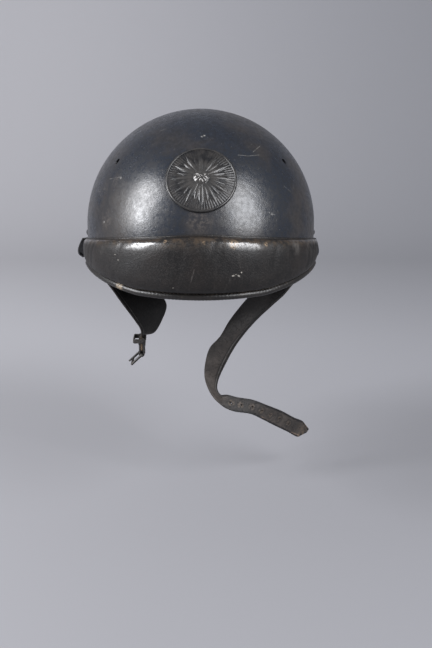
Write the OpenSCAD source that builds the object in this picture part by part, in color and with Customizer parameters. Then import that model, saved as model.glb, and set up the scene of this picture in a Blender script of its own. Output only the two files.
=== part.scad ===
// Steel crew helmet with a padded leather brow bumper, a flared neck guard,
// a laced leather liner and a two-piece leather chin strap.
// Millimetres. The origin is the centre of the head opening, level with the rim.
// The brow faces -Y, the crown is +Z, and +X is on the right as seen from the front.

/* [Shell] */
// Outside width of the steel shell
shell_w = 222; // [206:1:236]
// Outside length of the steel shell, brow to nape
shell_l = 250; // [236:1:262]
// Height of the crown above the rim
shell_h = 150; // [142:1:160]
// Height of the straight side wall under the dome
wall_h = 40; // [38:1:44]
// Thickness of the sheet steel
steel_t = 1.2; // [0.9:0.1:1.5]
// Radius of the bead rolled along the rim and the guard's edge
bead_r = 1.4; // [1.2:0.1:1.8]
// Rise of the rim over each ear
rim_rise = 8; // [5:0.5:9]
// Radius of each vent hole
vent_r = 2.4; // [1.8:0.1:3]
// Height of the vent holes above the rim
vent_z = 107; // [98:1:112]
// Angle of the vent holes from the helmet's middle line
vent_angle = 60; // [50:1:68]

/* [Bumper] */
// Height of the brow bumper at the middle
bumper_h = 54; // [46:1:57]
// Height of the brow bumper at its ends
bumper_end_h = 22; // [21:1:25]
// How far the bumper stands out at the middle
bumper_depth = 12; // [9:0.5:15]
// How far the bumper stands out towards its ends
bumper_end_depth = 1.8; // [1.6:0.2:4]
// Angle from the middle of the brow to each end of the bumper
bumper_angle = 93; // [88:1:94]
// Thickness of the bumper's leather skin
cover_t = 1.6; // [1.2:0.1:2]
// Thickness of the leather binding sewn over the rim
binding_t = 1.2; // [1:0.1:1.6]
// Angle from the middle of the brow to each end of the binding
binding_angle = 76; // [60:1:78]

/* [Neck guard] */
// Angle from the nape to each front corner of the guard
guard_angle = 82; // [74:1:83]
// Thickness of the guard's sheet steel
guard_t = 1.1; // [0.9:0.1:1.4]
// How far the guard flares out at the nape
guard_flare = 24; // [18:1:28]
// How far the guard flares out at its front corners
guard_end_flare = 10.5; // [9:0.5:12]
// Drop of the guard's edge below the rim at the nape
guard_drop = 24; // [16:1:30]
// Radius of the guard's small rivets
guard_rivet_r = 2; // [1.5:0.1:2.4]

/* [Badge] */
// Radius of the round badge on the brow
badge_r = 31; // [27:0.5:33]
// Height of the badge's middle above the rim
badge_z = 100; // [95:1:102]
// Thickness of the badge's sheet metal
badge_t = 0.9; // [0.7:0.1:1.2]
// Number of long rays round the badge's boss
badge_rays = 12; // [8:1:16]

/* [Liner] */
// Depth of the corrugated spacers
spacer_depth = 12; // [10:0.5:13]
// Height of the corrugated spacers
spacer_h = 18; // [14:1:20]
// Sheet thickness of the corrugated spacers
spacer_t = 0.6; // [0.5:0.1:0.9]
// Thickness of the felt strip
felt_t = 2.4; // [1.8:0.1:3]
// Thickness of the leather headband
band_t = 2; // [1.6:0.1:2.4]
// Height of the headband's lower edge above the rim
band_z = 4; // [3.5:0.5:6]
// Height of the headband
band_h = 34; // [32:1:34]
// Number of leather tongues
tongues = 7; // [7:1:8]
// Thickness of the tongues
tongue_t = 1.8; // [1.4:0.1:2.2]
// Radius of the cord that draws the tongues together
lace_r = 1.1; // [0.9:0.1:1.2]

/* [Strap fittings] */
// Radius of the wire that the ear pieces hang on
loop_wire_r = 1.5; // [1.2:0.1:1.8]
// Length of the bar that carries an ear piece
loop_w = 38; // [36:1:42]
// Height of the side rivets above the rim
rivet_z = 31; // [30:1:34]
// Radius of the side rivets' shanks
rivet_r = 2; // [1.6:0.1:2.4]

/* [Chin strap] */
// Thickness of the strap leather
leather_t = 2.2; // [1.8:0.1:2.6]
// Radius of the punched strap holes
hole_r = 1.5; // [1.3:0.1:2]
// Number of punched strap holes
strap_holes = 7; // [4:1:8]
// Radius of the buckle's wire
buckle_wire_r = 1.3; // [1.1:0.1:1.5]
// Width of the buckle between the middles of its side wires
buckle_w = 19.8; // [19:0.2:22]
// Length of the buckle between the middles of its bars
buckle_l = 14; // [12:0.5:18]
// Angle at which the buckle hangs out from the vertical
buckle_lean = 46; // [30:1:55]

/* [Hidden] */
$fn = 180;

steel_color = "#2b2e33";
leather_color = "#1e1c1b";
liner_color = "#6b4a2f";
metal_color = "#55524d";

// The shell is turned as a round bowl and then drawn into its oval.
dome_r = shell_h - wall_h;
wall_in = dome_r - steel_t;
oval_x = shell_w / 2 / dome_r;
oval_y = shell_l / 2 / dome_r;
inner_x = wall_in * oval_x;

// The rim rises over the ears in a shallow arch, cut out of the round bowl along X.
arch_half = 95;
arch_r = (pow(arch_half, 2) + pow(rim_rise, 2)) / (2 * rim_rise);

// Length at which a cutter passes right through a piece
through = 24;

// Small clearances
touch = 0.05;
pin_gap = 0.1;
seat_gap = 0.4;

// Plain vector helpers
function unit(v) = v / norm(v);
function mix(a, b, t) = a * (1 - t) + b * t;
function spline(a, b, c, d, t) = 0.5 * (2 * b + (c - a) * t + (2 * a - 5 * b + 4 * c - d) * t * t
  + (3 * b - a - 3 * c + d) * t * t * t);

// Points of a smooth line through a list of stations, n steps to each stretch. The last stretch is straight.
function smooth(p, n) =
  let (m = len(p) - 1)
    [
      for (i = [0 : m - 2], k = [0 : n - 1])
        spline(p[max(i - 1, 0)], p[i], p[i + 1], i == m - 2 ? p[i] + 2 * (p[m] - p[m - 1]) : p[i + 2], k / n),
      p[m - 1],
      p[m]
    ];

// Closed solid through rings of equal length, capped at both ends
module loft(rings) {
  n = len(rings[0]);
  m = len(rings);
  last = (m - 1) * n;
  points = [for (ring = rings, p = ring) p];
  polyhedron(points, concat(
    [for (i = [0 : m - 2], j = [0 : n - 1])
      let (a = i * n + j, b = i * n + (j + 1) % n)
        each [[a, b, b + n], [a, b + n, a + n]]],
    [for (j = [1 : n - 2]) [0, j + 1, j]],
    [for (j = [1 : n - 2]) [last, last + j, last + j + 1]]
  ));
}

// Closed ring of rings, joined back to its start
module closed_loft(rings) {
  n = len(rings[0]);
  m = len(rings);
  points = [for (ring = rings, p = ring) p];
  polyhedron(points, [
    for (i = [0 : m - 1], j = [0 : n - 1])
      let (a = i * n + j, b = i * n + (j + 1) % n, c = ((i + 1) % m) * n + j, d = ((i + 1) % m) * n + (j + 1) % n)
        each [[a, b, d], [a, d, c]]
  ]);
}

module oval() {
  scale([oval_x, oval_y, 1]) children();
}

// A full turn in four quarters
module turned() {
  for (q = [0 : 3])
    rotate([0, 0, 90 * q]) rotate_extrude(angle = 90) children();
}

// Share of the wall's radius that is left at a height
function wall_share(z) = z < wall_h ? 1 : sqrt(1 - pow((z - wall_h) / dome_r, 2));

// Point that stands off the shell's outside: a is the angle from the brow, s the stand-off
function off_wall(a, s, z) =
  let (n = unit([sin(a) / shell_w, -cos(a) / shell_l, 0]))
    [shell_w / 2 * sin(a) * wall_share(z), -shell_l / 2 * cos(a) * wall_share(z), z] + s * n;

// Rise of the rim at an angle from the brow
function rim_at(a) = max(0, sqrt(pow(arch_r, 2) - pow(dome_r * cos(a), 2)) - arch_r + rim_rise);

// Outline of the bowl's wall in the half plane
module wall_profile() {
  difference() {
    union() {
      intersection() {
        translate([0, wall_h]) circle(dome_r);
        translate([0, wall_h]) square([2 * dome_r, 2 * dome_r]);
      }
      square([dome_r, wall_h]);
    }
    translate([0, wall_h]) circle(wall_in);
    translate([0, -1]) square([wall_in, wall_h + 1]);
  }
}

// The bead is rolled along the level parts of the rim, over the brow and over the nape.
bead_half = 30;

module bead_profile() {
  translate([dome_r + bead_r / 3, 0]) circle(bead_r);
}

module vent_cutters() {
  for (side = [-1, 1], end = [-1, 1])
    rotate([0, 0, 90 * end + side * end * vent_angle])
      translate([dome_r / 2, 0, vent_z]) rotate([0, 90, 0])
         cylinder(r = vent_r, h = dome_r, $fn = 32);
}

// The badge stands on the brow at the angle of the shell's surface there.
badge_y = shell_l / 2 * wall_share(badge_z);
badge_tilt = atan((badge_z - wall_h) / pow(dome_r, 2) / (badge_y / pow(shell_l / 2, 2)));
badge_seat = 109;
prong_x = 16;
prong_w = 3;
prong_t = 0.7;
prong_l = 4.4;
prong_foot = 4;

module badge_slots() {
  for (side = [-1, 1])
    translate([side * prong_x / oval_x, -badge_y / oval_y, badge_z])
      rotate([90 - atan(tan(badge_tilt) * oval_y), 0, 0])
        cube([prong_t + 1, prong_w + 1.4, through], center = true);
}

module dome_shell() {
  color(steel_color) oval() difference() {
    union() {
      difference() {
        turned() wall_profile();
        translate([0, 0, rim_rise - arch_r]) rotate([0, 90, 0])
          cylinder(r = arch_r, h = 3 * dome_r, center = true, $fn = 360);
      }
      for (end = [-1, 1])
        rotate([0, 0, 90 * end - bead_half]) rotate_extrude(angle = 2 * bead_half) bead_profile();
    }
    vent_cutters();
    badge_slots();
    for (side = [-1, 1])
      translate([side * (dome_r - 5), 0, rivet_z]) rotate([0, side * 90, 0])
        cylinder(r = rivet_r + touch, h = 10, $fn = 32);
    for (a = guard_rivet_angles)
      rotate([0, 0, a]) translate([0, dome_r + 5, guard_rivet_z]) rotate([90, 0, 0])
        cylinder(r = guard_rivet_r + pin_gap, h = 12, $fn = 32);
  }
}

// Neck guard
guard_top = 26;
guard_seam = 15;
guard_end_z = 4;
guard_steps = 24;
guard_rivet_z = 21;
guard_rivet_angles = [-66, -36, 0, 36, 66];

// Angle of the nape from the brow
nape = 180;

// Outline of the sheet at a share u of the way from the nape to a corner
function guard_line(u) =
  let (out = mix(guard_flare, guard_end_flare, pow(u, 2)), low = mix(-guard_drop, guard_end_z, pow(u, 1.6)))
    [for (k = [0 : 6]) let (t = k / 6) [
      seat_gap + (out - seat_gap) * (1 - cos(90 * pow(t, 0.8))),
      guard_seam + (low - guard_seam) * sin(90 * pow(t, 0.9))
    ]];

function guard_ring(a) =
  let (
    u = abs(a) / guard_angle,
    line = concat([[seat_gap, guard_top]], guard_line(u)),
    tip = line[len(line) - 1],
    back = [for (k = [len(line) - 1 : -1 : 0])
      let (d = unit(line[min(k + 1, len(line) - 1)] - line[max(k - 1, 0)])) line[k] + guard_t * [-d[1], d[0]]],
    roll = [for (b = [-60 : 60 : 180]) tip + bead_r * [cos(b) + 0.6, sin(b) - 0.3]]
  )
    [for (p = concat(line, [roll[0], roll[1], roll[2], roll[3]], back)) off_wall(nape - a, p[0], p[1])];

module neck_guard() {
  color(steel_color) difference() {
    loft([for (k = [0 : guard_steps]) guard_ring(guard_angle * (1 - 2 * k / guard_steps))]);
    for (a = guard_rivet_angles)
      guard_rivet_place(a) cylinder(r = guard_rivet_r + touch, h = 12, center = true, $fn = 32);
  }
}

// Place of a guard rivet, with +Z out of the shell
module guard_rivet_place(a) {
  p = [-shell_w / 2 * sin(a), shell_l / 2 * cos(a), guard_rivet_z];
  n = unit([p[0] / pow(shell_w, 2), p[1] / pow(shell_l, 2), 0]);
  translate(p) rotate([0, 90, atan2(n[1], n[0])]) children();
}

// Solid rivet: shank from z = 0 downwards, a domed head above, a flat head below
module rivet(shank, length, head, crown) {
  ball = (head * head + crown * crown) / (2 * crown);
  rotate_extrude($fn = 48) {
    intersection() {
      translate([0, crown - ball]) circle(ball);
      square([head, crown]);
    }
    translate([0, -length]) square([shank, length]);
    translate([0, -length - 0.8]) square([head * 0.9, 0.8]);
  }
}

module neck_guard_rivets() {
  color(steel_color) for (a = guard_rivet_angles)
    guard_rivet_place(a) translate([0, 0, seat_gap + guard_t + 0.1])
      rivet(guard_rivet_r, seat_gap + guard_t + steel_t + 0.6, guard_rivet_r * 1.7, 1.4);
}

// Place of the badge, with +Z out of the shell
module badge_place() {
  translate([0, -badge_y, badge_z]) rotate([90 - badge_tilt, 0, 0]) children();
}

ray_long = 0.84;
ray_short = 0.66;
ray_start = 6;
ray_dip = 7.5;
ray_thick = 1.9;
ray_thin = 1.5;
ray_end = 0.5;
badge_rim = 1.1;
badge_lift = 0.24;
badge_base = -10;
boss_r = 8;
boss_z = badge_t - 3.5;

// Height of the badge's hollow back at a radius
function badge_back(r) = badge_lift - badge_seat + sqrt(pow(badge_seat, 2) - r * r);

// Turned outline of the front: the rim, the domed plate and the boss in its middle
function badge_front() =
  let (
    rim_x = badge_r - badge_rim,
    rim_z = badge_back(rim_x) + badge_t,
    boss_edge = acos((badge_back(7) + badge_t - boss_z) / boss_r),
    plate_in = boss_r * sin(boss_edge),
    plate_out = rim_x - badge_rim
  )
    concat(
      [[0, badge_base], [badge_r, badge_base]],
      [for (b = [0 : 30 : 150]) [rim_x + badge_rim * cos(b), rim_z + badge_rim * sin(b)]],
      [for (k = [0 : 4]) let (r = mix(plate_out, plate_in, k / 4)) [r, badge_back(r) + badge_t]],
      [for (k = [4 : -1 : 0]) let (b = boss_edge * k / 5) [boss_r * sin(b), boss_z + boss_r * cos(b)]]
    );

// The plate is hollowed from behind, so that it lies on the dome.
module badge() {
  reach = badge_r + 3;
  color(steel_color) badge_place() {
    difference() {
      union() {
        rotate_extrude() polygon(badge_front());
        for (k = [0 : badge_rays - 1])
          rotate([0, 0, 360 / badge_rays * k]) {
            badge_ray(ray_long, ray_thick);
            rotate([0, 0, 180 / badge_rays]) badge_ray(ray_short, ray_thin);
          }
      }
      rotate_extrude() polygon(concat(
        [[0, badge_base - 2], [reach, badge_base - 2]],
        [for (k = [5 : -1 : 0]) [reach * k / 5, badge_back(reach * k / 5)]]
      ));
    }
    for (side = [-1, 1])
      translate([side * prong_x - prong_t / 2, -prong_w / 2, -prong_l]) {
        cube([prong_t, prong_w, prong_l - 0.5]);
        translate([side > 0 ? 0 : prong_t - prong_foot, 0, 0]) cube([prong_foot, prong_w, prong_t]);
      }
  }
}

// One raised ray, a cone laid from the boss towards the rim
module badge_ray(reach, thick) {
  rotate([0, 90 + ray_dip, 0]) translate([-badge_t + 0.1, 0, ray_start])
    cylinder(r1 = thick, r2 = ray_end, h = badge_r * reach - ray_start, $fn = 24);
}

// Brow bumper
bumper_steps = 36;
end_turn = 14;
binding_in = bead_r * oval_y + 0.5;
bumper_low = binding_in + binding_t + seat_gap;
stuffing_gap = 0.2;
top_fall = 1.55;
depth_fall = 2.1;

// Degrees by which the hollow stops short of the tips, for each millimetre of skin
tip_solid = 4;

// Round-over of the bumper's ends, 1 along the middle and 0 at the tips
function end_round(a) =
  let (e = max(0, abs(a) - bumper_angle + end_turn) / end_turn) sqrt(max(0, 1 - e * e));

// Outline at an angle: the crowned front from the bottom to the top, then the flat back
function bumper_ring(a, inset, back) =
  let (
    u = abs(a) / bumper_angle,
    r = end_round(a),
    top = mix(bumper_h, bumper_end_h, pow(u, top_fall)) - inset,
    low = bumper_low + rim_at(a) + inset,
    start = seat_gap - inset / 5,
    depth = max(mix(bumper_depth, bumper_end_depth, pow(u, depth_fall)) * r - inset, start + 0.6),
    middle = (low + top) / 2,
    half = (top - low) / 2 * (0.55 + 0.45 * r),
    crown = [for (b = [-90 : 22.5 : 90])
      [
        max(back, start + (depth - start) * pow(max(cos(b), 0), 0.55)),
        middle + half * sign(b) * pow(abs(sin(b)), 0.8)
      ]],
    flat = [for (k = [3 : -1 : 1]) [back, middle + half * (k - 2) / 2]],
    line = concat(crown, flat)
  )
    [for (k = [0 : len(line) - 1]) let (p = line[(k + 4) % len(line)]) off_wall(a, p[0], p[1])];

// The rings lie closer together towards the rounded ends.
module bumper_form(inset, back) {
  edge = bumper_angle - inset * tip_solid;
  loft([for (k = [0 : bumper_steps])
    let (t = 2 * k / bumper_steps - 1) bumper_ring(edge * (t + sin(90 * t)) / 2, inset, back)]);
}

// The skin is open at the back, where the stuffing lies against the shell.
module bumper_cover() {
  color(leather_color) difference() {
    bumper_form(0, seat_gap);
    bumper_form(cover_t, -cover_t);
  }
}

module bumper_padding() {
  color("#8a7a60") bumper_form(cover_t + stuffing_gap, seat_gap + touch);
}

// The binding is a C that grips the bead and is open where the wall rises.
binding_steps = 22;

function binding_ring(a) =
  let (middle = [bead_r / 3 * oval_y, 0])
    [for (p = concat(
      [for (b = [166 : 24 : 430]) middle + (binding_in + binding_t) * [cos(b), sin(b)]],
      [for (b = [430 : -24 : 166]) middle + binding_in * [cos(b), sin(b)]]
    )) off_wall(a, p[0], p[1] + rim_at(a))];

module rim_binding() {
  color(leather_color)
    loft([for (k = [0 : binding_steps]) binding_ring(binding_angle * (2 * k / binding_steps - 1))]);
}

// Liner, laid out on the round bowl like the shell
spacer_out = wall_in - 0.5 * seat_gap;
spacer_in = spacer_out - spacer_depth;
felt_out = spacer_in - touch;
band_out = felt_out - felt_t - touch;
band_in = band_out - band_t;
band_top = band_z + band_h;
felt_inset = 4;

band_sides = 90;

// Points of an oval that is a circle of radius r on the round bowl
function oval_line(r) = [for (k = [0 : band_sides - 1])
  let (a = 360 * k / band_sides) [r * oval_x * cos(a), r * oval_y * sin(a)]];

module ring(inner, outer, low, high) {
  translate([0, 0, low]) linear_extrude(high - low) difference() {
    polygon(oval_line(outer));
    polygon(oval_line(inner));
  }
}

module head_band() {
  color(liner_color) ring(band_in, band_out, band_z, band_top);
}

module felt_band() {
  color("#7d7a70") ring(felt_out - felt_t, felt_out, band_z + felt_inset, band_top - felt_inset);
}

// Corrugated spacer: flat-topped waves between the wall and the felt
spacer_pitch = 11.6;
spacer_waves = 5;
spacer_low = band_z + (band_h - spacer_h) / 2;

function wave(a) = max(-1, min(1, 1.7 * cos(360 * a / spacer_pitch)));
function spacer_radius(a) = (spacer_in + spacer_out) / 2 - (spacer_depth - spacer_t) / 2 * wave(a);
function spacer_point(a) = spacer_radius(a) * [cos(a), sin(a)];
function spacer_normal(a) = let (d = spacer_point(a + 0.2) - spacer_point(a - 0.2)) unit([d[1], -d[0]]);

module spacer(middle) {
  half = spacer_pitch * spacer_waves / 2;
  step = spacer_pitch / 12;
  line = [for (a = [-half : step : half + 0.01]) a];
  color("#9a9a98") oval() rotate([0, 0, middle]) translate([0, 0, spacer_low]) linear_extrude(spacer_h)
    polygon(concat(
      [for (a = line) spacer_point(a) + spacer_t / 2 * spacer_normal(a)],
      [for (k = [len(line) - 1 : -1 : 0]) spacer_point(line[k]) - spacer_t / 2 * spacer_normal(line[k])]
    ));
}

module spacer_front() {
  spacer(-90);
}

module spacer_rear() {
  spacer(90);
}

module spacer_left() {
  spacer(180);
}

module spacer_right() {
  spacer(0);
}

// Tongues: leaves of one cap that rests on the headband's upper edge
cap_low = band_top + touch;
cap_rest = (band_in + band_out) / 2 + 0.4;
cap_top = 118;
lace_ring = 30;
cap_z = (pow(cap_top, 2) - pow(cap_rest, 2) - pow(cap_low, 2)) / (2 * (cap_top - cap_low));
cap_r = cap_top - cap_z;
lace_hole_r = 2.7;
tongue_tip_r = 10;
tongue_gap = 9.6;

module tongue_outline() {
  half = cap_rest * sin(180 / tongues) - tongue_gap / 2;
  translate([lace_ring, 0]) circle(tongue_tip_r, $fn = 48);
  polygon([
    [lace_ring, -tongue_tip_r], [cap_rest * 0.8, -half * 0.8], [cap_rest + 4, -half],
    [cap_rest + 4, half], [cap_rest * 0.8, half * 0.8], [lace_ring, tongue_tip_r]
  ]);
}

module liner_tongues() {
  color(liner_color) oval() for (k = [0 : tongues - 1])
    rotate([0, 0, -90 + 360 / tongues * k]) difference() {
      intersection() {
        translate([0, 0, cap_z]) sphere(cap_r);
        translate([0, 0, cap_low]) linear_extrude(dome_r) tongue_outline();
      }
      translate([0, 0, cap_z]) sphere(cap_r - tongue_t);
      translate([lace_ring, 0, cap_low]) cylinder(r = lace_hole_r, h = dome_r, $fn = 32);
    }
}

// The lace rises through each tongue's hole and dips through each gap.
lace_swing = 3.4;
lace_z = cap_z + sqrt(pow(cap_r - tongue_t / 2, 2) - pow(lace_ring, 2));
lace_steps = 8 * tongues;

function lace_point(k) =
  let (a = 360 * k / lace_steps)
    [lace_ring * oval_x * cos(a - 90), lace_ring * oval_y * sin(a - 90), lace_z + lace_swing * sin(tongues * a)];

function tube_ring(p, d, r, sides) =
  let (x = unit(cross(d, [0, 0, 1])), y = unit(cross(x, d)))
    [for (j = [0 : sides - 1]) p + r * (cos(360 * j / sides) * x + sin(360 * j / sides) * y)];

module liner_lace() {
  knot = lace_point(lace_steps / tongues / 2);
  color("#5a4632") {
    closed_loft([for (k = [0 : lace_steps - 1])
      tube_ring(lace_point(k), lace_point(k + 1) - lace_point(k - 1), lace_r, 8)]);
    translate(knot) sphere(lace_r * 2.2, $fn = 12);
  }
}

// Clips soldered to the wall and bent over the headband, one in each of four gaps
clip_w = 6;
clip_t = 0.7;
clip_leg = 4;
clip_hook = 6;
clip_z = band_top + 2 * clip_t + 0.6;

module liner_clips() {
  color(metal_color) oval() for (k = [0.5, 2.5, 4.5, 6.5])
    rotate([0, 0, -90 + 360 / tongues * k]) translate([0, clip_w / 2, 0]) rotate([90, 0, 0])
      linear_extrude(clip_w) {
        translate([wall_in - clip_t - 0.1, clip_z - clip_leg]) square([clip_t, clip_leg]);
        translate([band_in - clip_t - 0.1, clip_z - clip_t]) square([wall_in - band_in, clip_t]);
        translate([band_in - clip_t - 0.1, clip_z - clip_hook]) square([clip_t, clip_hook]);
      }
}

// Steel fittings at the sides: a plate riveted inside the shell, with a wire loop below it
plate_t = 1.2;
plate_w = 10;
plate_x = inner_x - 0.35 - plate_t;
plate_over = 6;
loop_top_z = 8;
bar_z = -3;
bar_x = inner_x - 7.8;

// The bent wire is a little thicker at its corners.
knuckle = 1.05;

module wire(a, b, r) {
  d = b - a;
  translate(a) rotate([0, acos(d[2] / norm(d)), atan2(d[1], d[0])]) cylinder(r = r, h = norm(d), $fn = 32);
}

// The plate's lower end is rolled round the loop's upper wire.
module strap_loop() {
  half = loop_w / 2;
  top_x = plate_x - loop_wire_r + touch;
  difference() {
    translate([plate_x, -plate_w / 2, loop_top_z]) cube([plate_t, plate_w, rivet_z + plate_over - loop_top_z]);
    translate([plate_x - 1, 0, rivet_z]) rotate([0, 90, 0]) cylinder(r = rivet_r + touch, h = 4, $fn = 32);
  }
  translate([top_x, 0, loop_top_z]) rotate([90, 0, 0])
    cylinder(r = loop_wire_r + plate_t - 2 * touch, h = plate_w, center = true, $fn = 48);
  corners = [[top_x, -half, loop_top_z], [top_x, half, loop_top_z], [bar_x, half, bar_z], [bar_x, -half, bar_z]];
  for (k = [0 : 3]) {
    wire(corners[k], corners[(k + 1) % 4], loop_wire_r);
    translate(corners[k]) sphere(loop_wire_r * knuckle, $fn = 32);
  }
}

module strap_loop_left() {
  color(metal_color) mirror([1, 0, 0]) strap_loop();
}

module strap_loop_right() {
  color(metal_color) strap_loop();
}

module side_rivets() {
  color(steel_color) for (side = [0, 1])
    mirror([side, 0, 0]) translate([shell_w / 2 + touch, 0, rivet_z]) rotate([0, 90, 0])
      rivet(rivet_r, shell_w / 2 - plate_x + touch, 3.6, 2.2);
}

// Chin strap: stations down each piece as [edge, other edge], as the old leather hangs.
// Their places are counted from the middle of the bar that the piece hangs on.
strap_x = bar_x;
fold_r = loop_wire_r + pin_gap + leather_t;
fold_half = 16;
tab_x = 41 - strap_x;
tab_y = 10;
tab_half = 8;

function hung(side, stations) = [for (s = stations) [for (p = s) p + [side * strap_x, 0, bar_z]]];

left_stations = hung(-1, [
  [[0.5, -fold_half, -3], [1, fold_half, -3]],
  [[11, -17, -15], [23, 31, -18]],
  [[20, -16, -29], [50, 42, -34]],
  [[30, -12, -44], [65, 43, -52]],
  [[37, -6, -57], [62, 37, -66]],
  [[41, 0, -67], [55, 28, -75]],
  [[41, tab_y - tab_half, -77], [41, tab_y + tab_half, -77]],
  [[41, tab_y - tab_half, -91], [41, tab_y + tab_half, -91]]
]);

right_stations = hung(1, [
  [[-1, fold_half, -3], [-0.5, -fold_half, -3]],
  [[-19, 30, -18], [-11, -18, -14]],
  [[-40, 42, -35], [-20, -14, -27]],
  [[-56, 43, -52], [-32, -3, -43]],
  [[-71, 39, -71], [-44, 12, -61]],
  [[-81, 36, -87], [-56, 24, -81]],
  [[-92, 33, -99], [-66, 31, -99]],
  [[-97, 30, -116], [-75, 34, -118]],
  [[-97, 28, -131], [-82, 40, -136]],
  [[-93, 25, -143], [-84, 38, -147]],
  [[-86, 21, -153], [-80, 35, -154]],
  [[-77, 18, -161], [-73, 28, -151]],
  [[-65, 17, -166], [-62, 26, -153]],
  [[-48, 20, -170], [-45, 26, -156]],
  [[-35, 27, -179], [-29, 30, -164]],
  [[-21, 38, -191], [-13, 41, -175]],
  [[-5, 50, -204], [3, 52, -188]],
  [[10, 60, -215], [15, 61, -199]],
  [[18, 64, -217], [22, 64, -208]]
]);

sheet_steps = 3;

function sheet_mid(edges, k) = (edges[k][0] + edges[k][1]) / 2;

function sheet_normal(edges, k) =
  let (
    across = edges[k][1] - edges[k][0],
    along = sheet_mid(edges, min(k + 1, len(edges) - 1)) - sheet_mid(edges, max(k - 1, 0))
  )
    unit(cross(across, along));

// A sheet of leather through its stations
module sheet(stations) {
  first = smooth([for (s = stations) s[0]], sheet_steps);
  other = smooth([for (s = stations) s[1]], sheet_steps);
  edges = [for (k = [0 : len(first) - 1]) [first[k], other[k]]];
  loft([for (k = [0 : len(edges) - 1])
    let (n = leather_t / 2 * sheet_normal(edges, k))
      [edges[k][0] - n, edges[k][1] - n, edges[k][1] + n, edges[k][0] + n]]);
}

// A place on a sheet: share u across it at station k, with +Z along the sheet's normal
module on_sheet(stations, k, u) {
  i = floor(k);
  e = [for (s = stations) s];
  p = mix(mix(e[i][0], e[i][1], u), mix(e[i + 1][0], e[i + 1][1], u), k - i);
  n = mix(sheet_normal(e, i), sheet_normal(e, i + 1), k - i);
  translate(p) rotate([0, acos(n[2] / norm(n)), atan2(n[1], n[0])]) children();
}

// The leather's top edge is turned round the bar of the wire loop.
module ear_piece(stations, side) {
  difference() {
    union() {
      sheet(stations);
      translate([side * strap_x, 0, bar_z]) rotate([90, 0, 0]) cylinder(r = fold_r, h = 2 * fold_half, center = true, $fn = 48);
    }
    translate([side * strap_x, 0, bar_z]) rotate([90, 0, 0])
      cylinder(r = loop_wire_r + pin_gap, h = 2 * fold_half + through, center = true, $fn = 48);
    for (u = ear_rivet_shares)
      on_sheet(stations, ear_rivet_station, u) cylinder(r = ear_rivet_r + touch, h = 12, center = true, $fn = 24);
  }
}

ear_rivet_r = 1.5;
ear_rivet_station = 0.5;
ear_rivet_shares = [0.25, 0.75];
ear_rivet_head = 3;
ear_rivet_gap = 0.55;

module ear_rivets(stations) {
  for (u = ear_rivet_shares)
    on_sheet(stations, ear_rivet_station, u) translate([0, 0, leather_t / 2 + ear_rivet_gap])
      rivet(ear_rivet_r, leather_t + 2 * ear_rivet_gap, ear_rivet_head, 1.2);
}

module ear_piece_left() {
  color(leather_color) difference() {
    ear_piece(left_stations, -1);
    translate([tab_x - 6, tab_y, tab_rivet_z]) rotate([0, 90, 0]) cylinder(r = tab_rivet_r + touch, h = 12, $fn = 32);
  }
}

first_hole = 11.6;
hole_pitch = 0.7;

module ear_piece_right() {
  color(leather_color) difference() {
    ear_piece(right_stations, 1);
    for (k = [0 : strap_holes - 1])
      on_sheet(right_stations, first_hole + hole_pitch * k, 0.5) cylinder(r = hole_r, h = 8, center = true, $fn = 24);
  }
}

module ear_rivets_left() {
  color(metal_color) ear_rivets(left_stations);
}

module ear_rivets_right() {
  color(metal_color) ear_rivets(right_stations);
}

// Buckle end of the left ear piece: a folded leather tab holds the buckle's bar.
tab_t = 1.6;
tab_bar_z = -98.5;
tab_top = -80.5;
tab_fold_r = buckle_wire_r + pin_gap + tab_t;
tab_leg_x = leather_t / 2 + 0.1;
tab_rivet_r = 1.3;
tab_rivet_head = 2.4;
slot_half = 2.3;
slot_rise = 6.2;
tab_rivet_z = tab_bar_z + slot_rise + tab_rivet_head + 0.4;
prong_r = 1;

module buckle_tab() {
  color(leather_color) translate([tab_x, tab_y, 0]) difference() {
    union() {
      for (side = [0, 1])
        mirror([side, 0, 0]) translate([tab_leg_x, -tab_half, tab_bar_z]) cube([tab_t, 2 * tab_half, tab_top - tab_bar_z]);
      translate([0, 0, tab_bar_z]) rotate([90, 0, 0]) cylinder(r = tab_fold_r, h = 2 * tab_half, center = true, $fn = 48);
    }
    translate([0, 0, tab_bar_z]) rotate([90, 0, 0])
      cylinder(r = buckle_wire_r + pin_gap, h = 2 * tab_half + 4, center = true, $fn = 48);
    translate([-6, -slot_half, tab_bar_z - 6]) cube([12, 2 * slot_half, slot_rise + 6]);
    translate([-6, 0, tab_rivet_z]) rotate([0, 90, 0]) cylinder(r = tab_rivet_r + touch, h = 12, $fn = 32);
  }
}

module tab_rivet() {
  color(metal_color) translate([tab_x - tab_leg_x - tab_t - touch, tab_y, tab_rivet_z]) rotate([0, -90, 0])
    rivet(tab_rivet_r, 2 * (tab_leg_x + tab_t + touch), tab_rivet_head, 1);
}

// A small loop round the tab keeps the strap's end down.
keeper_t = 1.4;
keeper_h = 4.6;
keeper_room = 4.4;
keeper_z = tab_top - keeper_h - 1;

module strap_keeper() {
  half_x = tab_leg_x + tab_t + touch;
  half_y = tab_half + touch;
  color(leather_color) translate([tab_x, tab_y, keeper_z]) difference() {
    translate([-half_x - keeper_room - keeper_t, -half_y - keeper_t, 0])
      cube([2 * half_x + keeper_room + 2 * keeper_t, 2 * (half_y + keeper_t), keeper_h]);
    translate([-half_x - keeper_room, -half_y, -1])
      cube([2 * half_x + keeper_room, 2 * half_y, keeper_h + 2]);
  }
}

// Place of the buckle: the bar at the origin, the frame hanging along -Z
module buckle_place() {
  translate([tab_x, tab_y, tab_bar_z]) rotate([0, buckle_lean, 0]) children();
}

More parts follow.
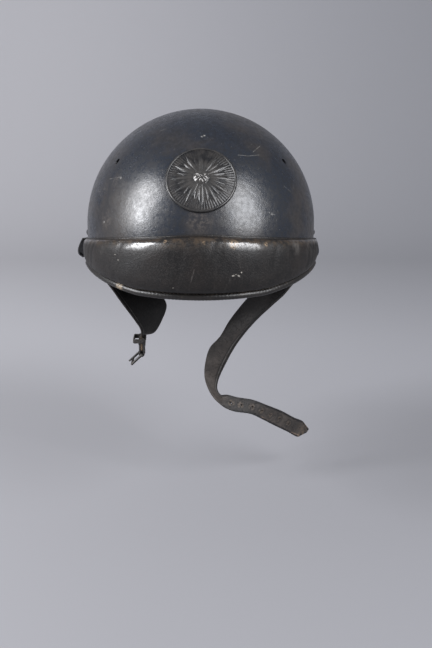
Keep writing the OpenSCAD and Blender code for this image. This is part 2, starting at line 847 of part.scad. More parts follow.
module buckle_frame() {
  half = buckle_w / 2;
  corners = [[0, -half, 0], [0, half, 0], [0, half, -buckle_l], [0, -half, -buckle_l]];
  color(metal_color) buckle_place() for (k = [0 : 3]) {
    wire(corners[k], corners[(k + 1) % 4], buckle_wire_r);
    translate(corners[k]) sphere(buckle_wire_r * knuckle, $fn = 32);
  }
}

// The prong's rod is a little thinner than the eye that turns on the bar.
module buckle_prong() {
  eye = buckle_wire_r + pin_gap + prong_r;
  rod_r = prong_r * 0.94;
  rod_l = buckle_l + buckle_wire_r + 0.9;
  color(metal_color) buckle_place() {
    rotate([90, 0, 0]) rotate_extrude($fn = 72) translate([eye, 0]) circle(prong_r, $fn = 48);
    translate([-eye, 0, -rod_l]) cylinder(r = rod_r, h = rod_l - 0.2, $fn = 48);
    translate([-eye, 0, -rod_l]) sphere(prong_r, $fn = 48);
  }
}

dome_shell();
neck_guard();
neck_guard_rivets();
badge();
bumper_cover();
bumper_padding();
rim_binding();
head_band();
felt_band();
liner_tongues();
liner_lace();
liner_clips();
spacer_front();
spacer_rear();
spacer_left();
spacer_right();
side_rivets();
strap_loop_left();
strap_loop_right();
ear_piece_left();
ear_piece_right();
ear_rivets_left();
ear_rivets_right();
buckle_tab();
tab_rivet();
strap_keeper();
buckle_frame();
buckle_prong();
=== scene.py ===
# %% [markdown]
# # A steel crew helmet, dressed in Blender
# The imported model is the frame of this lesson: every node of it is where the real piece
# is, in metres, with the origin in the middle of the head opening and the brow towards -Y.
# Hard fittings whose shape is right keep their node and get a finish. The steel skin, the
# badge and everything of leather are modelled again here, finer than the frame.

# %% Load the frame
import functools
import math

import bmesh
import bpy
from mathutils import Euler, Matrix, Vector, noise
from mathutils.bvhtree import BVHTree


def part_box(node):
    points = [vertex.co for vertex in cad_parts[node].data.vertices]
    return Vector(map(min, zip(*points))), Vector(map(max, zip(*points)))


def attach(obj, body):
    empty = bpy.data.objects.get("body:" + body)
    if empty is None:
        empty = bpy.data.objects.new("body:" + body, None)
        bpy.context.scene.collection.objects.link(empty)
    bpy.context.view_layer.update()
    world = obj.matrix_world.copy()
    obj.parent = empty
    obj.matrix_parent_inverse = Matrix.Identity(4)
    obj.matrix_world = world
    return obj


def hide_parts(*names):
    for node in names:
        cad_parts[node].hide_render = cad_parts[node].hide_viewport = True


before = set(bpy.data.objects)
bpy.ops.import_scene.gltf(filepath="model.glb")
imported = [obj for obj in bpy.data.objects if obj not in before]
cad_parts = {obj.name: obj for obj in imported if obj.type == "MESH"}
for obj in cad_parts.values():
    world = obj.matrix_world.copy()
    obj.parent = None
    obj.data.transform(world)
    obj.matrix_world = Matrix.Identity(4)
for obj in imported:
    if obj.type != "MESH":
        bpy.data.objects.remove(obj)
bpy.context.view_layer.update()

# %% [markdown]
# ## The camera
# The picture was taken from a little above the brow with a short telephoto lens. The place
# and the tilt were worked out from what is square and level in it. The camera is in the
# helmet's middle plane, but the helmet isn't in the middle of the picture, so the lens is
# shifted. Wear marks are placed by the pixel at which they show, so the camera comes first.

# %% Make the camera
PICTURE = (432, 648)
LENS, SENSOR = 50, 36
CAMERA_AT, TILT, MIDDLE = (-0.003, -0.8781, 0.2146), math.radians(72.36), 197.6
camera = bpy.data.objects.new("camera", bpy.data.cameras.new("camera"))
camera.data.lens = LENS
camera.data.sensor_width = SENSOR
camera.data.shift_x = (PICTURE[0] / 2 - MIDDLE) / PICTURE[1]
camera.location = CAMERA_AT
camera.rotation_euler = (TILT, 0, 0)
bpy.context.scene.collection.objects.link(camera)
bpy.context.scene.camera = camera


def sight(x, y):
    """The line from the camera through a pixel, as a place and a direction."""
    pixels = LENS / SENSOR * PICTURE[1]
    way = Vector(((x - MIDDLE) / pixels, (PICTURE[1] / 2 - y) / pixels, -1))
    way.rotate(Euler((TILT, 0, 0)))
    return Vector(CAMERA_AT), way.normalized()


def seen(thing, x, y):
    """The place on a piece that shows at a pixel, in metres."""
    tree = BVHTree.FromObject(thing, bpy.context.evaluated_depsgraph_get())
    spot = tree.ray_cast(*sight(x, y))[0]
    if spot is None:
        raise ValueError(f"{thing.name} doesn't show at {x}, {y}")
    return spot


print("camera", LENS, "mm, tilted down", round(90 - math.degrees(TILT), 1), "degrees")

# %% [markdown]
# ## Helpers for shapes
# Most pieces are a section carried along a line: the pad round the brow, the binding on the
# rim, the straps. `skin` starts from Blender's grid, puts each of its points on a section,
# welds the seams and fills the ends. `piece` turns the finished work from millimetres into
# metres and hangs it on its body. Holes are `drill`ed: `cut` takes round bars out of a piece,
# and `keep` turns the live modifier that does it into plain mesh.

# %% Skin through sections
MM = 0.001
WELD = 0.0005


def mix(a, b, t):
    return a * (1 - t) + b * t


def skin(sections, closed=False, marks=None):
    """A closed surface through sections of equal length. marks names values for each point."""
    along, around = len(sections), len(sections[0])
    steps = along if closed else along - 1
    bm = bmesh.new()
    bm.loops.layers.uv.new("UVMap")
    layers = {name: bm.verts.layers.float.new(name) for name in marks or {}}
    bmesh.ops.create_grid(bm, x_segments=steps, y_segments=around, size=0.5, calc_uvs=True)
    for vert in bm.verts:
        i = round((vert.co.x + 0.5) * steps) % along
        j = round((vert.co.y + 0.5) * around) % around
        vert.co = sections[i][j]
        for name, layer in layers.items():
            vert[layer] = marks[name](i, j)
    bmesh.ops.remove_doubles(bm, verts=bm.verts, dist=WELD)
    if not closed:
        rim = [edge for edge in bm.edges if edge.is_boundary]
        bmesh.ops.holes_fill(bm, edges=rim, sides=0)
    bmesh.ops.recalc_face_normals(bm, faces=bm.faces)
    return bm


print("shapes are made in millimetres, and points closer than", WELD, "are welded")

# %% Pieces and their holes


def as_object(bm, name):
    mesh = bpy.data.meshes.new(name)
    bm.to_mesh(mesh)
    bm.free()
    thing = bpy.data.objects.new(name, mesh)
    bpy.context.scene.collection.objects.link(thing)
    return thing


def keep(thing):
    """Makes what the modifiers show the piece's own mesh."""
    bpy.context.view_layer.update()
    shown = thing.evaluated_get(bpy.context.evaluated_depsgraph_get())
    made = bpy.data.meshes.new_from_object(shown)
    thing.modifiers.clear()
    thing.data = made
    return thing


def drill(bm, place, radius, depth, sides=20):
    """Adds a round bar to bm, for a hole that is then cut with it."""
    bmesh.ops.create_cone(
        bm, cap_ends=True, segments=sides, radius1=radius, radius2=radius, depth=depth, matrix=place
    )


def cut(thing, bm):
    """Takes the shape in bm, in millimetres, out of a piece."""
    bmesh.ops.recalc_face_normals(bm, faces=bm.faces)
    bmesh.ops.scale(bm, vec=(MM, MM, MM), verts=bm.verts)
    cutter = as_object(bm, "cutter")
    modifier = thing.modifiers.new("cut", "BOOLEAN")
    modifier.solver = "EXACT"
    modifier.object = cutter
    keep(thing)
    bpy.data.objects.remove(cutter)


def soften(thing, degrees=35):
    """Smooth shading that leaves real corners sharp."""
    thing.data.shade_smooth()
    thing.data.set_sharp_from_angle(angle=math.radians(degrees))


def piece(bm, name, body, slot, *nodes, degrees=35):
    bmesh.ops.scale(bm, vec=(MM, MM, MM), verts=bm.verts)
    thing = as_object(bm, name)
    soften(thing, degrees)
    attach(thing, body)
    if nodes:
        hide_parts(*nodes)
    size = " x ".join(f"{d / MM:.0f}" for d in thing.dimensions)
    print(name, len(thing.data.polygons), "faces,", size, "mm")
    return thing


# %% [markdown]
# ## The bowl's measures
# The shell is a round bowl drawn into an oval: a straight wall, then a dome. Everything on
# it is placed by an angle from the brow, a height, and how far it stands off the wall.

# %% Bowl measures, in millimetres
WALL_H, DOME_R, STEEL = 40, 110, 1.2
HALF_W, HALF_L = 111, 125
OVAL = Vector((HALF_W / DOME_R, HALF_L / DOME_R, 1))
BEAD_R = 1.4
GAP = 0.4
RIM_RISE, ARCH_HALF = 8, 95
ARCH_R = (ARCH_HALF**2 + RIM_RISE**2) / (2 * RIM_RISE)


def turn(degrees, radius=1.0):
    """A point of a circle as (along, up)."""
    return radius * math.cos(math.radians(degrees)), radius * math.sin(math.radians(degrees))


def share(z):
    """How much of the wall's width is left at a height."""
    return 1 if z < WALL_H else math.sqrt(max(0, 1 - ((z - WALL_H) / DOME_R) ** 2))


def rise(y):
    """How far the rim is raised over the ears, at a distance from them on the round bowl."""
    return max(0, math.sqrt(ARCH_R**2 - y * y) - ARCH_R + RIM_RISE)


def rim_at(angle):
    return rise(turn(angle, DOME_R)[0])


low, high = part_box("dome_shell")
print("bowl", [round(v / MM, 1) for v in high - low], "mm across, long and high")

# %% Places on the bowl


def off_wall(angle, out, z):
    """The place at an angle from the brow that stands off the shell's outside."""
    c, s = turn(angle)
    away = Vector((s / HALF_W, -c / HALF_L, 0)).normalized()
    return Vector((HALF_W * s * share(z), -HALF_L * c * share(z), z)) + out * away


def on_dome(x, y):
    """The place on the bowl that shows at a pixel, in metres, worked out on its ellipsoid."""
    start, way = sight(x, y)
    radii = Vector((HALF_W, HALF_L, DOME_R)) * MM
    o = Vector((start.x / radii.x, start.y / radii.y, (start.z - WALL_H * MM) / radii.z))
    d = Vector((way.x / radii.x, way.y / radii.y, way.z / radii.z))
    a, b, c = d.dot(d), 2 * o.dot(d), o.dot(o) - 1
    return start + way * (-b - math.sqrt(b * b - 4 * a * c)) / (2 * a)


print("rim at the brow", off_wall(0, 0, rim_at(0))[:], "and over the ear", off_wall(90, 0, rim_at(90))[:])

# %% [markdown]
# ## Shader maths as plain sums
# A finish is a tree of small nodes. `Wire` wraps one output, so that `1 - mask * 0.5` adds
# its Math nodes by itself. `Finish` is one material with one shader: its `node` method makes
# every other node. Patterns are measured in metres on Object coordinates, so that a grain of
# 2 mm is 2 mm on every piece.

# %% A node's output in sums


class Wire:
    """A node's output that can be used in sums."""

    def __init__(self, finish, socket):
        self.finish, self.socket = finish, socket

    def sum(self, operation, first, second):
        return self.finish.node("ShaderNodeMath", {"operation": operation}, {0: first, 1: second})

    def __add__(self, other):
        return self.sum("ADD", self, other)

    def __sub__(self, other):
        return self.sum("SUBTRACT", self, other)

    def __rsub__(self, other):
        return self.sum("SUBTRACT", other, self)

    def __mul__(self, other):
        return self.sum("MULTIPLY", self, other)

    __radd__, __rmul__ = __add__, __mul__

    def most(self, other):
        return self.sum("MAXIMUM", self, other)

    def above(self, low, high):
        """0 below low, 1 above high, and smooth between them."""
        return self.finish.node(
            "ShaderNodeMapRange", {"interpolation_type": "SMOOTHSTEP"}, {0: self, 1: low, 2: high}
        )


print("sums on a Wire add Math nodes")

# %% One material and its patterns


class Finish:
    """One material. Values that are the same all over are given by name when it is made."""

    def __init__(self, name, **uniform):
        self.material = bpy.data.materials.new(name)
        self.material.use_nodes = True
        self.tree = self.material.node_tree
        self.shader = self.tree.nodes["Principled BSDF"]
        for socket, value in uniform.items():
            self.shader.inputs[socket.replace("_", " ")].default_value = value
        self.place = self.node("ShaderNodeTexCoord", out="Object")

    def node(self, kind, settings=None, sockets=None, out=0):
        made = self.tree.nodes.new(kind)
        for key, value in (settings or {}).items():
            setattr(made, key, value)
        for key, value in (sockets or {}).items():
            if isinstance(value, Wire):
                self.tree.links.new(value.socket, made.inputs[key])
            else:
                made.inputs[key].default_value = value
        return Wire(self, made.outputs[out])

    def noise(self, size, detail=2, rough=0.5, place=None, distort=0):
        """Cloudy pattern whose lumps are about size metres across."""
        sockets = {"Vector": place or self.place, "Scale": 1 / size, "Detail": detail}
        return self.node("ShaderNodeTexNoise", {}, {**sockets, "Roughness": rough, "Distortion": distort})

    def cells(self, size):
        """Distance in a pattern of cells about size metres across."""
        return self.node("ShaderNodeTexVoronoi", {}, {"Vector": self.place, "Scale": 1 / size})

    def stretched(self, scale):
        """Object coordinates with each direction scaled."""
        return self.node("ShaderNodeMapping", {}, {"Vector": self.place, "Scale": scale})

    def mark(self, name):
        """A value that was stored on the piece's own points."""
        return self.node("ShaderNodeAttribute", {"attribute_name": name}, out="Fac")

    def mix(self, mask, first, second):
        """One colour where the mask is 0, the other where it is 1."""
        first, second = (end if isinstance(end, Wire) else (*end, 1) for end in (first, second))
        return self.node("ShaderNodeMix", {"data_type": "RGBA"}, {0: mask, 6: first, 7: second}, 2)

    def vector(self, operation, first, second, out=0):
        return self.node("ShaderNodeVectorMath", {"operation": operation}, {0: first, 1: second}, out)

    def near(self, spot, inner, outer):
        """1 within inner metres of a place, 0 beyond outer."""
        return 1 - self.vector("DISTANCE", self.place, spot, 1).above(inner, outer)

    def line(self, start, end, width):
        """1 on a straight scratch between two places."""
        along = end - start
        from_start = self.vector("SUBTRACT", self.place, start)
        part = self.vector("DOT_PRODUCT", from_start, along / along.length_squared, 1)
        held = self.node("ShaderNodeClamp", {}, {0: part})
        step = self.node("ShaderNodeVectorMath", {"operation": "SCALE"}, {0: along, 3: held})
        return 1 - self.vector("DISTANCE", from_start, step, 1).above(width * 0.4, width)

    def wear(self, color=None, rough=None, metal=None, height=None, depth=0.0002, coat=None):
        """Joins what varies to the shader. depth is what a height of 1 stands out, in metres."""
        varying = {"Base Color": color, "Roughness": rough, "Metallic": metal, "Coat Weight": coat}
        for socket, wire in varying.items():
            if wire is not None:
                self.tree.links.new(wire.socket, self.shader.inputs[socket])
        if height is not None:
            bump = self.node("ShaderNodeBump", {}, {"Height": height, "Distance": depth})
            self.tree.links.new(bump.socket, self.shader.inputs["Normal"])
        return self

    def on(self, *things):
        for thing in things:
            thing.data.materials.clear()
            thing.data.materials.append(self.material)


def strongest(masks):
    """One mask that is as high at each place as the highest of them."""
    return functools.reduce(Wire.most, masks)


print("a Finish holds one shader; its patterns are in metres")

# %% [markdown]
# ## The steel bowl
# The real bowl is pressed from one sheet and its edge is rolled over a wire. A line of
# points goes down the outside, round the bead and up the inside, and one full spin round
# the upright axis makes both walls. Scaling the round bowl then draws it into its oval.
# The four vent holes are cut afterwards. Old pressings are never quite true, so the points
# are moved by a fraction of a millimetre, and one shallow dent sits low on the right.

# %% Spin the bowl


def bowl_line():
    """The wall's section, from the crown outside to the crown inside."""
    outside = [(c, WALL_H + s) for c, s in (turn(90 - 2.5 * k, DOME_R) for k in range(37))]
    wall = [(DOME_R, z) for z in (30, 20, 10, 4)]
    bead = [(DOME_R + BEAD_R / 3 + c, s) for c, s in (turn(b, BEAD_R) for b in range(108, -181, -24))]
    inner = DOME_R - STEEL
    inside = [(c, WALL_H + s) for c, s in (turn(5 * k, inner) for k in range(19))]
    return outside + wall + bead + [(inner, 12), (inner, 26)] + inside


bm = bmesh.new()
line = [bm.verts.new((max(0, x), 0, z)) for x, z in bowl_line()]
edges = [bm.edges.new(pair) for pair in zip(line, line[1:])]
bmesh.ops.spin(
    bm, geom=line + edges, cent=(0, 0, 0), axis=(0, 0, 1), angle=math.tau, steps=160, use_merge=True
)
bmesh.ops.remove_doubles(bm, verts=bm.verts, dist=WELD)
bmesh.ops.recalc_face_normals(bm, faces=bm.faces)
bmesh.ops.scale(bm, vec=OVAL, verts=bm.verts)

DENT_AT, DENT_R, DENT = on_dome(250, 222) / MM, 13, 0.55
for vert in bm.verts:
    if vert.co.z < WALL_H:
        vert.co.z += rise(vert.co.y / OVAL.y) * (1 - vert.co.z / WALL_H)
    out = Vector((vert.co.x, vert.co.y, max(0, vert.co.z - WALL_H))).normalized()
    dent = max(0, 1 - (vert.co - DENT_AT).length / DENT_R) ** 2 * DENT
    untrue = 0.16 * noise.noise(vert.co * 0.028) * min(1, max(0, vert.co.z - 6) / 20)
    vert.co += (untrue - dent) * out
bowl = piece(bm, "steel_bowl", "helmet", "shell_paint", "dome_shell")

# %% Cut the vent holes
VENT_R, VENT_Z, VENT_ANGLE, VENT_DEEP = 2.4, 107, 60, 50
bm = bmesh.new()
for side in (-1, 1):
    for end in (-1, 1):
        x, y = turn(90 * end + side * end * VENT_ANGLE, DOME_R * 0.8)
        place = Matrix.Translation((x * OVAL.x, y * OVAL.y, VENT_Z))
        lean = Vector((x, y, 0)).to_track_quat("Z", "Y").to_matrix().to_4x4()
        drill(bm, place @ lean, VENT_R, VENT_DEEP, sides=24)
cut(bowl, bm)
soften(bowl)
print("bowl with vents:", len(bowl.data.polygons), "faces")

# %% [markdown]
# ## The neck guard
# A second sheet is riveted round the nape and flares out over the collar, with its edge
# rolled like the bowl's. Its section changes from the nape to its front corners, which are
# bent outwards into short round lobes, so it is a skin: each section runs down the outside,
# round the rolled edge and back up the inside.

# %% Skin the neck guard
GUARD_ANGLE, GUARD_T = 82, 1.1
NAPE = {"top": 26, "hem": 20, "seam": 15, "flare": 24, "low": -24}
CORNER = {"top": 22.5, "hem": 21.5, "seam": 20, "low": 2.5}
FLARE_LEFT, FLARE_RIGHT = 14.2, 9.8


def beside(points, k, closed=False):
    """The points after and before point k of a line."""
    if closed:
        return points[(k + 1) % len(points)], points[k - 1]
    return points[min(k + 1, len(points) - 1)], points[max(k - 1, 0)]


def guard_section(angle):
    u = abs(angle) / GUARD_ANGLE
    corner = u**10
    flare = mix(NAPE["flare"], FLARE_RIGHT if angle > 0 else FLARE_LEFT, u * u)
    low = mix(NAPE["low"], CORNER["low"], u**1.6)
    top, hem, seam = (mix(NAPE[name], CORNER[name], corner) for name in ("top", "hem", "seam"))
    line = [(GAP, top), (GAP, hem)]
    for k in range(13):
        out = mix(1 - turn(90 * (k / 12) ** 0.8)[0], turn(42 + 100 * k / 12)[1], corner)
        line.append((GAP + (flare - GAP) * out, seam + (low - seam) * turn(90 * (k / 12) ** 0.9)[1]))
    back = []
    for k in range(len(line) - 1, -1, -1):
        (x1, z1), (x0, z0) = beside(line, k)
        long = math.hypot(x1 - x0, z1 - z0)
        back.append((line[k][0] - GUARD_T * (z1 - z0) / long, line[k][1] + GUARD_T * (x1 - x0) / long))
    x, z = line[-1][0] + 0.6 * BEAD_R, line[-1][1] - 0.3 * BEAD_R
    roll = [(x + c, z + s) for c, s in (turn(b, BEAD_R) for b in range(-80, 181, 20))]
    return [off_wall(180 - angle, x, z) for x, z in line + roll + back]


bm = skin([guard_section(GUARD_ANGLE * (1 - k / 48)) for k in range(97)])
guard = piece(bm, "neck_guard_sheet", "helmet", "shell_paint", "neck_guard")

# %% [markdown]
# ## Old satin paint
# The paint is a dark blue-grey that has gone satin. It isn't even: broad cloudy patches are
# browner with dust, a fine mottle breaks up the gloss, pale specks sit all over, and there
# are a few thin broken scratches, scuffs and chips down to the steel. The marks on the brow
# are placed by the pixel at which they show in the picture.

# %% Paint for the bowl, the guard and their rivets
SCRATCHES = (
    ((238, 155), (249, 156), 0.25), ((249, 156), (259, 155), 0.25), ((253, 152), (260, 146), 0.25),
    ((110, 179), (121, 177), 0.3), ((160, 131), (166, 129), 0.2), ((268, 212), (275, 215), 0.3),
    ((97, 193), (106, 188), 0.15), ((222, 118), (229, 121), 0.12), ((284, 186), (291, 192), 0.15),
)
CHIPS = ((202, 136.5), (204.5, 135.5), (121, 178), (104, 222), (272, 214))
SCUFFS = ((200, 222, 0.016, 0.32), (106, 220, 0.012, 0.3), (116, 180, 0.010, 0.3), (104, 190, 0.012, 0.25))
STEEL_BARE = (0.30, 0.29, 0.27)


def paint(name, marked):
    look = Finish(name, Specular_IOR_Level=0.57)
    clouds, mottle, grain = look.noise(0.055, 4, 0.6), look.noise(0.0035, 3, 0.6), look.noise(0.0018, 3, 0.65)
    dust = clouds.above(0.42, 0.7)
    color = look.mix(dust * 0.8, (0.014, 0.017, 0.024), (0.036, 0.030, 0.026))
    color = look.mix(mottle.above(0.38, 0.66) * 0.6, color, (0.008, 0.008, 0.009))
    specks = look.noise(0.0016, 1, 0.5).above(0.735, 0.775)
    rub = look.noise(0.018, 5, 0.7).above(0.62, 0.72) * look.noise(0.0022, 2).above(0.45, 0.6)
    color = look.mix(rub * 0.35, color, (0.14, 0.125, 0.11))
    color = look.mix(specks * 0.4, color, (0.16, 0.155, 0.15))
    height = mottle * 0.7 + grain * 0.9 + look.noise(0.012, 2) * 1.5
    if marked:
        broken = look.noise(0.0028, 4, 0.75).above(0.44, 0.62)
        for x, y, size, strength in SCUFFS:
            scuff = look.near(on_dome(x, y), size * 0.2, size) * broken
            color = look.mix(scuff * strength, color, (0.13, 0.11, 0.095))
        gone = look.noise(0.0013, 2, 0.6).above(0.36, 0.5)
        lines = [look.line(on_dome(*start), on_dome(*end), 0.0005) * force for start, end, force in SCRATCHES]
        chips = [look.near(on_dome(*spot), 0.0003, 0.0016) * 0.6 for spot in CHIPS]
        bare = strongest(lines + chips) * gone
        color = look.mix(bare, color, STEEL_BARE)
        height = height - bare * 0.8
    gloss = 0.25 + mottle.above(0.3, 0.7) * 0.12 + dust * 0.07
    return look.wear(color, gloss, height=height, depth=0.00012)


bowl_paint = paint("bowl_paint", marked=True)
plain_paint = paint("plain_paint", marked=False)
bowl_paint.on(bowl)
plain_paint.on(guard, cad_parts["neck_guard_rivets"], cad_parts["side_rivets"])
print("paint with", len(SCRATCHES), "scratches,", len(SCUFFS), "scuffs and", len(CHIPS), "chips")

# %% [markdown]
# ## The brow badge
# The badge is a round plate stamped with a plain rosette of rays, drawn down to follow the
# bowl. Stamped relief is a height for each place of a disc, so the plate is a skin of rings
# whose points are lifted by the height of rim, rays and boss. How high a point lies is kept
# on it as a mark, because the paint is rubbed off the high places first.

# %% Stamp the badge
BADGE_R, BADGE_Z, BADGE_T, BADGE_SEAT, BADGE_LIFT = 31, 100, 0.9, 109, 0.24
RAYS, RAY_START, RIM, FLUTES = 12, 6, 1.1, 72
BADGE_Y = HALF_L * share(BADGE_Z)
BADGE_TILT = math.atan((BADGE_Z - WALL_H) / DOME_R**2 / (BADGE_Y / HALF_L**2))


def ray_height(x, y, reach, thick):
    """Height of a tapering half-round ray that runs out along x."""
    if not RAY_START < x < reach:
        return 0
    t = (x - RAY_START) / (reach - RAY_START)
    half = mix(thick, 0.45, t) + 1.1 * math.sin(math.pi * t)
    return 0.62 * math.sqrt(max(0, half * half - y * y)) * (1 - 0.3 * t)


def relief(r, degrees):
    """Height of the stamping over the plain plate."""
    near = (degrees + 180 / RAYS) % (360 / RAYS) - 180 / RAYS
    between = degrees % (360 / RAYS) - 180 / RAYS
    best = ray_height(*turn(near, r), BADGE_R * 0.84, 1.9)
    best = max(best, ray_height(*turn(between, r), BADGE_R * 0.66, 1.5))
    rim = math.sqrt(max(0, RIM**2 - (r - BADGE_R + RIM) ** 2))
    fluted = min(1, max(0, r - 20) / 2) * (r < BADGE_R - 2 * RIM)
    flutes = 0.11 * (1 + math.cos(math.radians(degrees * FLUTES))) * fluted
    petals = 0.55 * abs(math.cos(math.radians(degrees * 4)))
    boss = max(0, (1 - (r / 7.2) ** 2)) ** 0.6 * 4.1 * (1 - 0.25 * (1 - petals) * min(1, r / 3))
    button = 0.9 * math.sqrt(max(0, 1 - (r / 2.3) ** 2))
    return max(best, rim, flutes, boss + button)


def badge_ring(r, top):
    ring = []
    for k in range(360):
        x, y = turn(k, r)
        z = BADGE_LIFT - BADGE_SEAT + math.sqrt(BADGE_SEAT**2 - r * r)
        ring.append(Vector((x, y, z + (BADGE_T + relief(r, k) if top else 0))))
    return ring


radii = [0.05 + (BADGE_R - 0.05) * k / 84 for k in range(85)]
rings = [badge_ring(r, True) for r in radii] + [badge_ring(r, False) for r in (BADGE_R, 20, 10, 0.05)]
heights = {"high": lambda i, j: relief(radii[i], j) if i < len(radii) else 0}
bm = skin(rings, marks=heights)
bmesh.ops.rotate(bm, verts=bm.verts, matrix=Matrix.Rotation(math.pi / 2 - BADGE_TILT, 3, "X"))
bmesh.ops.translate(bm, verts=bm.verts, vec=(0, -BADGE_Y, BADGE_Z))
badge = piece(bm, "badge_plate", "helmet", "badge_metal", "badge", degrees=60)

# %% Rubbed metal of the badge
look = Finish("badge_paint", Roughness=0.45)
high, grit = look.mark("high"), look.noise(0.0016, 4, 0.65)
rubbed = (high + grit * 1.4 - 0.5).above(0.7, 2.2)
color = look.mix(look.noise(0.006, 3).above(0.35, 0.7), (0.007, 0.007, 0.008), (0.022, 0.020, 0.019))
color = look.mix(rubbed * 0.6, color, (0.10, 0.095, 0.09))
look.wear(color, 0.36 - rubbed * 0.12, rubbed * 0.4, grit, 0.0001).on(badge)
print("badge stands", round(-BADGE_Y, 1), "mm from the middle, tilted", round(math.degrees(BADGE_TILT), 1))

# %% [markdown]
# ## The brow bumper
# The bumper is a leather skin stuffed with horsehair and sewn to the bowl along its top and
# under the rim. It is fullest over the brow and runs out in a rounded end at each temple.
# The stuffing presses a high crest against the top seam and leaves the front nearly flat,
# and the old leather puckers at the seams and creases where it goes round the corners. It
# is a skin of crowned sections that end in a flat back against the steel. How near a point
# is to the crest and to the seams is kept on it for the finish.

# %% Skin the bumper
PAD_ANGLE, PAD_H, PAD_END_H, PAD_DEPTH, PAD_END_DEPTH, PAD_TURN = 93, 54, 22, 12, 1.8, 14
BINDING_IN = BEAD_R * OVAL.y + 0.5
BINDING_OUT = BINDING_IN + 1.2
PAD_LOW = BINDING_OUT + GAP
PAD_STEPS = 216
CROWN = [-90 + 6 * k for k in range(31)]
CREASES = (-66, -61, -57, -38, -8.5, 3.2, 6.5, 31, 55, 60, 64, 69)
CREASE, CREASE_HALF, PUCKER, PUCKERS = 0.5, 1.3, 0.22, 46


def pad_top(angle):
    return mix(PAD_H, PAD_END_H, min(1, abs(angle) / PAD_ANGLE) ** 1.55)


def pad_section(angle):
    u = abs(angle) / PAD_ANGLE
    e = max(0, abs(angle) - PAD_ANGLE + PAD_TURN) / PAD_TURN
    r = math.sqrt(max(0, 1 - e * e))
    depth = max(mix(PAD_DEPTH, PAD_END_DEPTH, u**2.1) * r, GAP + 0.6)
    top, low = pad_top(angle), PAD_LOW + rim_at(angle)
    middle, half = (low + top) / 2, (top - low) / 2 * (0.55 + 0.45 * r)
    points = []
    for b in CROWN:
        c, s = turn(b)
        out = GAP + (depth - GAP) * max(0, c) ** 0.55
        up = middle + half * math.copysign(abs(s) ** 0.8, s)
        spot = off_wall(angle, out, up)
        pucker = PUCKER * abs(s) ** 6 * math.sin(math.radians(angle * PUCKERS)) * r * (1 - u**3)
        lump = (0.55 * noise.noise(spot * 0.045) + 0.22 * noise.noise(spot * 0.13)) * c * r
        crease = CREASE * sum(max(0, 1 - abs(angle - at - 3 * s) / CREASE_HALF) for at in CREASES) * c * r
        points.append((min(out + pucker + lump - crease, depth + 0.3), up))
    points += [(GAP, middle + half * (1 - k / 3)) for k in (1, 2, 3, 4, 5)]
    return [off_wall(angle, max(GAP, out), up) for out, up in points]


def spread(k):
    """Angle of section k: closer together towards the rounded ends."""
    t = 2 * k / PAD_STEPS - 1
    return PAD_ANGLE * 0.9995 * (t + turn(90 * t)[1]) / 2


marks = {
    "crest": lambda i, j: max(0, 1 - abs(CROWN[j] - 62) / 30) if j < len(CROWN) else 0,
    "seam": lambda i, j: abs(turn(CROWN[j])[1]) ** 8 if j < len(CROWN) else 1,
}
bm = skin([pad_section(spread(k)) for k in range(PAD_STEPS + 1)], marks=marks)
bumper = piece(bm, "bumper_pad", "helmet", "bumper_leather", "bumper_cover", "bumper_padding", degrees=60)

# %% [markdown]
# ## The binding and the seams
# A strip of leather is folded over the rim and sewn through, which makes the thin roll
# below the bumper. A narrow folded edge closes the bumper's top against the steel. Both are
# skins of small round sections, and the sewing pulls the roll in a little at each stitch.

# %% Skin the binding and the edge at the top
BINDING_ANGLE, STITCH_STEP, HEM_ANGLE = 76, 1.7, 84
ROLL_MIDDLE = BEAD_R / 3 * OVAL.y


def roll_section(angle):
    pull = 1 - 0.05 * (0.5 + 0.5 * math.cos(math.tau * angle / STITCH_STEP)) ** 3
    arc = [turn(b) for b in range(166, 431, 12)]
    outside = [(c * BINDING_OUT * pull, s * BINDING_OUT * pull) for c, s in arc]
    inside = [(c * BINDING_IN, s * BINDING_IN) for c, s in reversed(arc)]
    return [off_wall(angle, ROLL_MIDDLE + x, z + rim_at(angle)) for x, z in outside + inside]


bm = skin([roll_section(BINDING_ANGLE * (k / 140 - 1)) for k in range(281)])
binding = piece(bm, "binding_roll", "helmet", "bumper_leather", "rim_binding", degrees=50)


def hem_section(angle):
    size = 0.85 + 0.12 * noise.noise(Vector((angle * 0.4, 0, 3)))
    edge = [turn(b, size) for b in range(0, 360, 36)]
    return [off_wall(angle, 0.95 + c, pad_top(angle) + 0.1 + s) for c, s in edge]


bm = skin([hem_section(HEM_ANGLE * (k / 130 - 1)) for k in range(261)])
hem = piece(bm, "bumper_hem", "helmet", "bumper_leather", degrees=60)

# %% Sew the binding


def stitches(name, body, spots, thick=0.55, long=2.6):
    """Thread at (place, direction) pairs, each a small ball drawn out along its direction."""
    bm = bmesh.new()
    for spot, way in spots:
        lie = way.to_track_quat("X", "Z").to_matrix().to_4x4()
        size = Matrix.Diagonal((long / 2, thick / 2, thick / 2, 1))
        place = Matrix.Translation(spot) @ lie @ size
        bmesh.ops.create_uvsphere(bm, u_segments=6, v_segments=4, radius=1, matrix=place)
    return piece(bm, name, body, "lace_cord", degrees=80)


spots = []
c, s = turn(58, BINDING_OUT * 0.975)
for k in range(int(-BINDING_ANGLE / STITCH_STEP) + 1, int(BINDING_ANGLE / STITCH_STEP)):
    angle = k * STITCH_STEP
    here, there = (off_wall(angle + d, ROLL_MIDDLE + c, s + rim_at(angle + d)) for d in (-0.3, 0.3))
    spots.append(((here + there) / 2, there - here))
binding_thread = stitches("binding_thread", "helmet", spots)

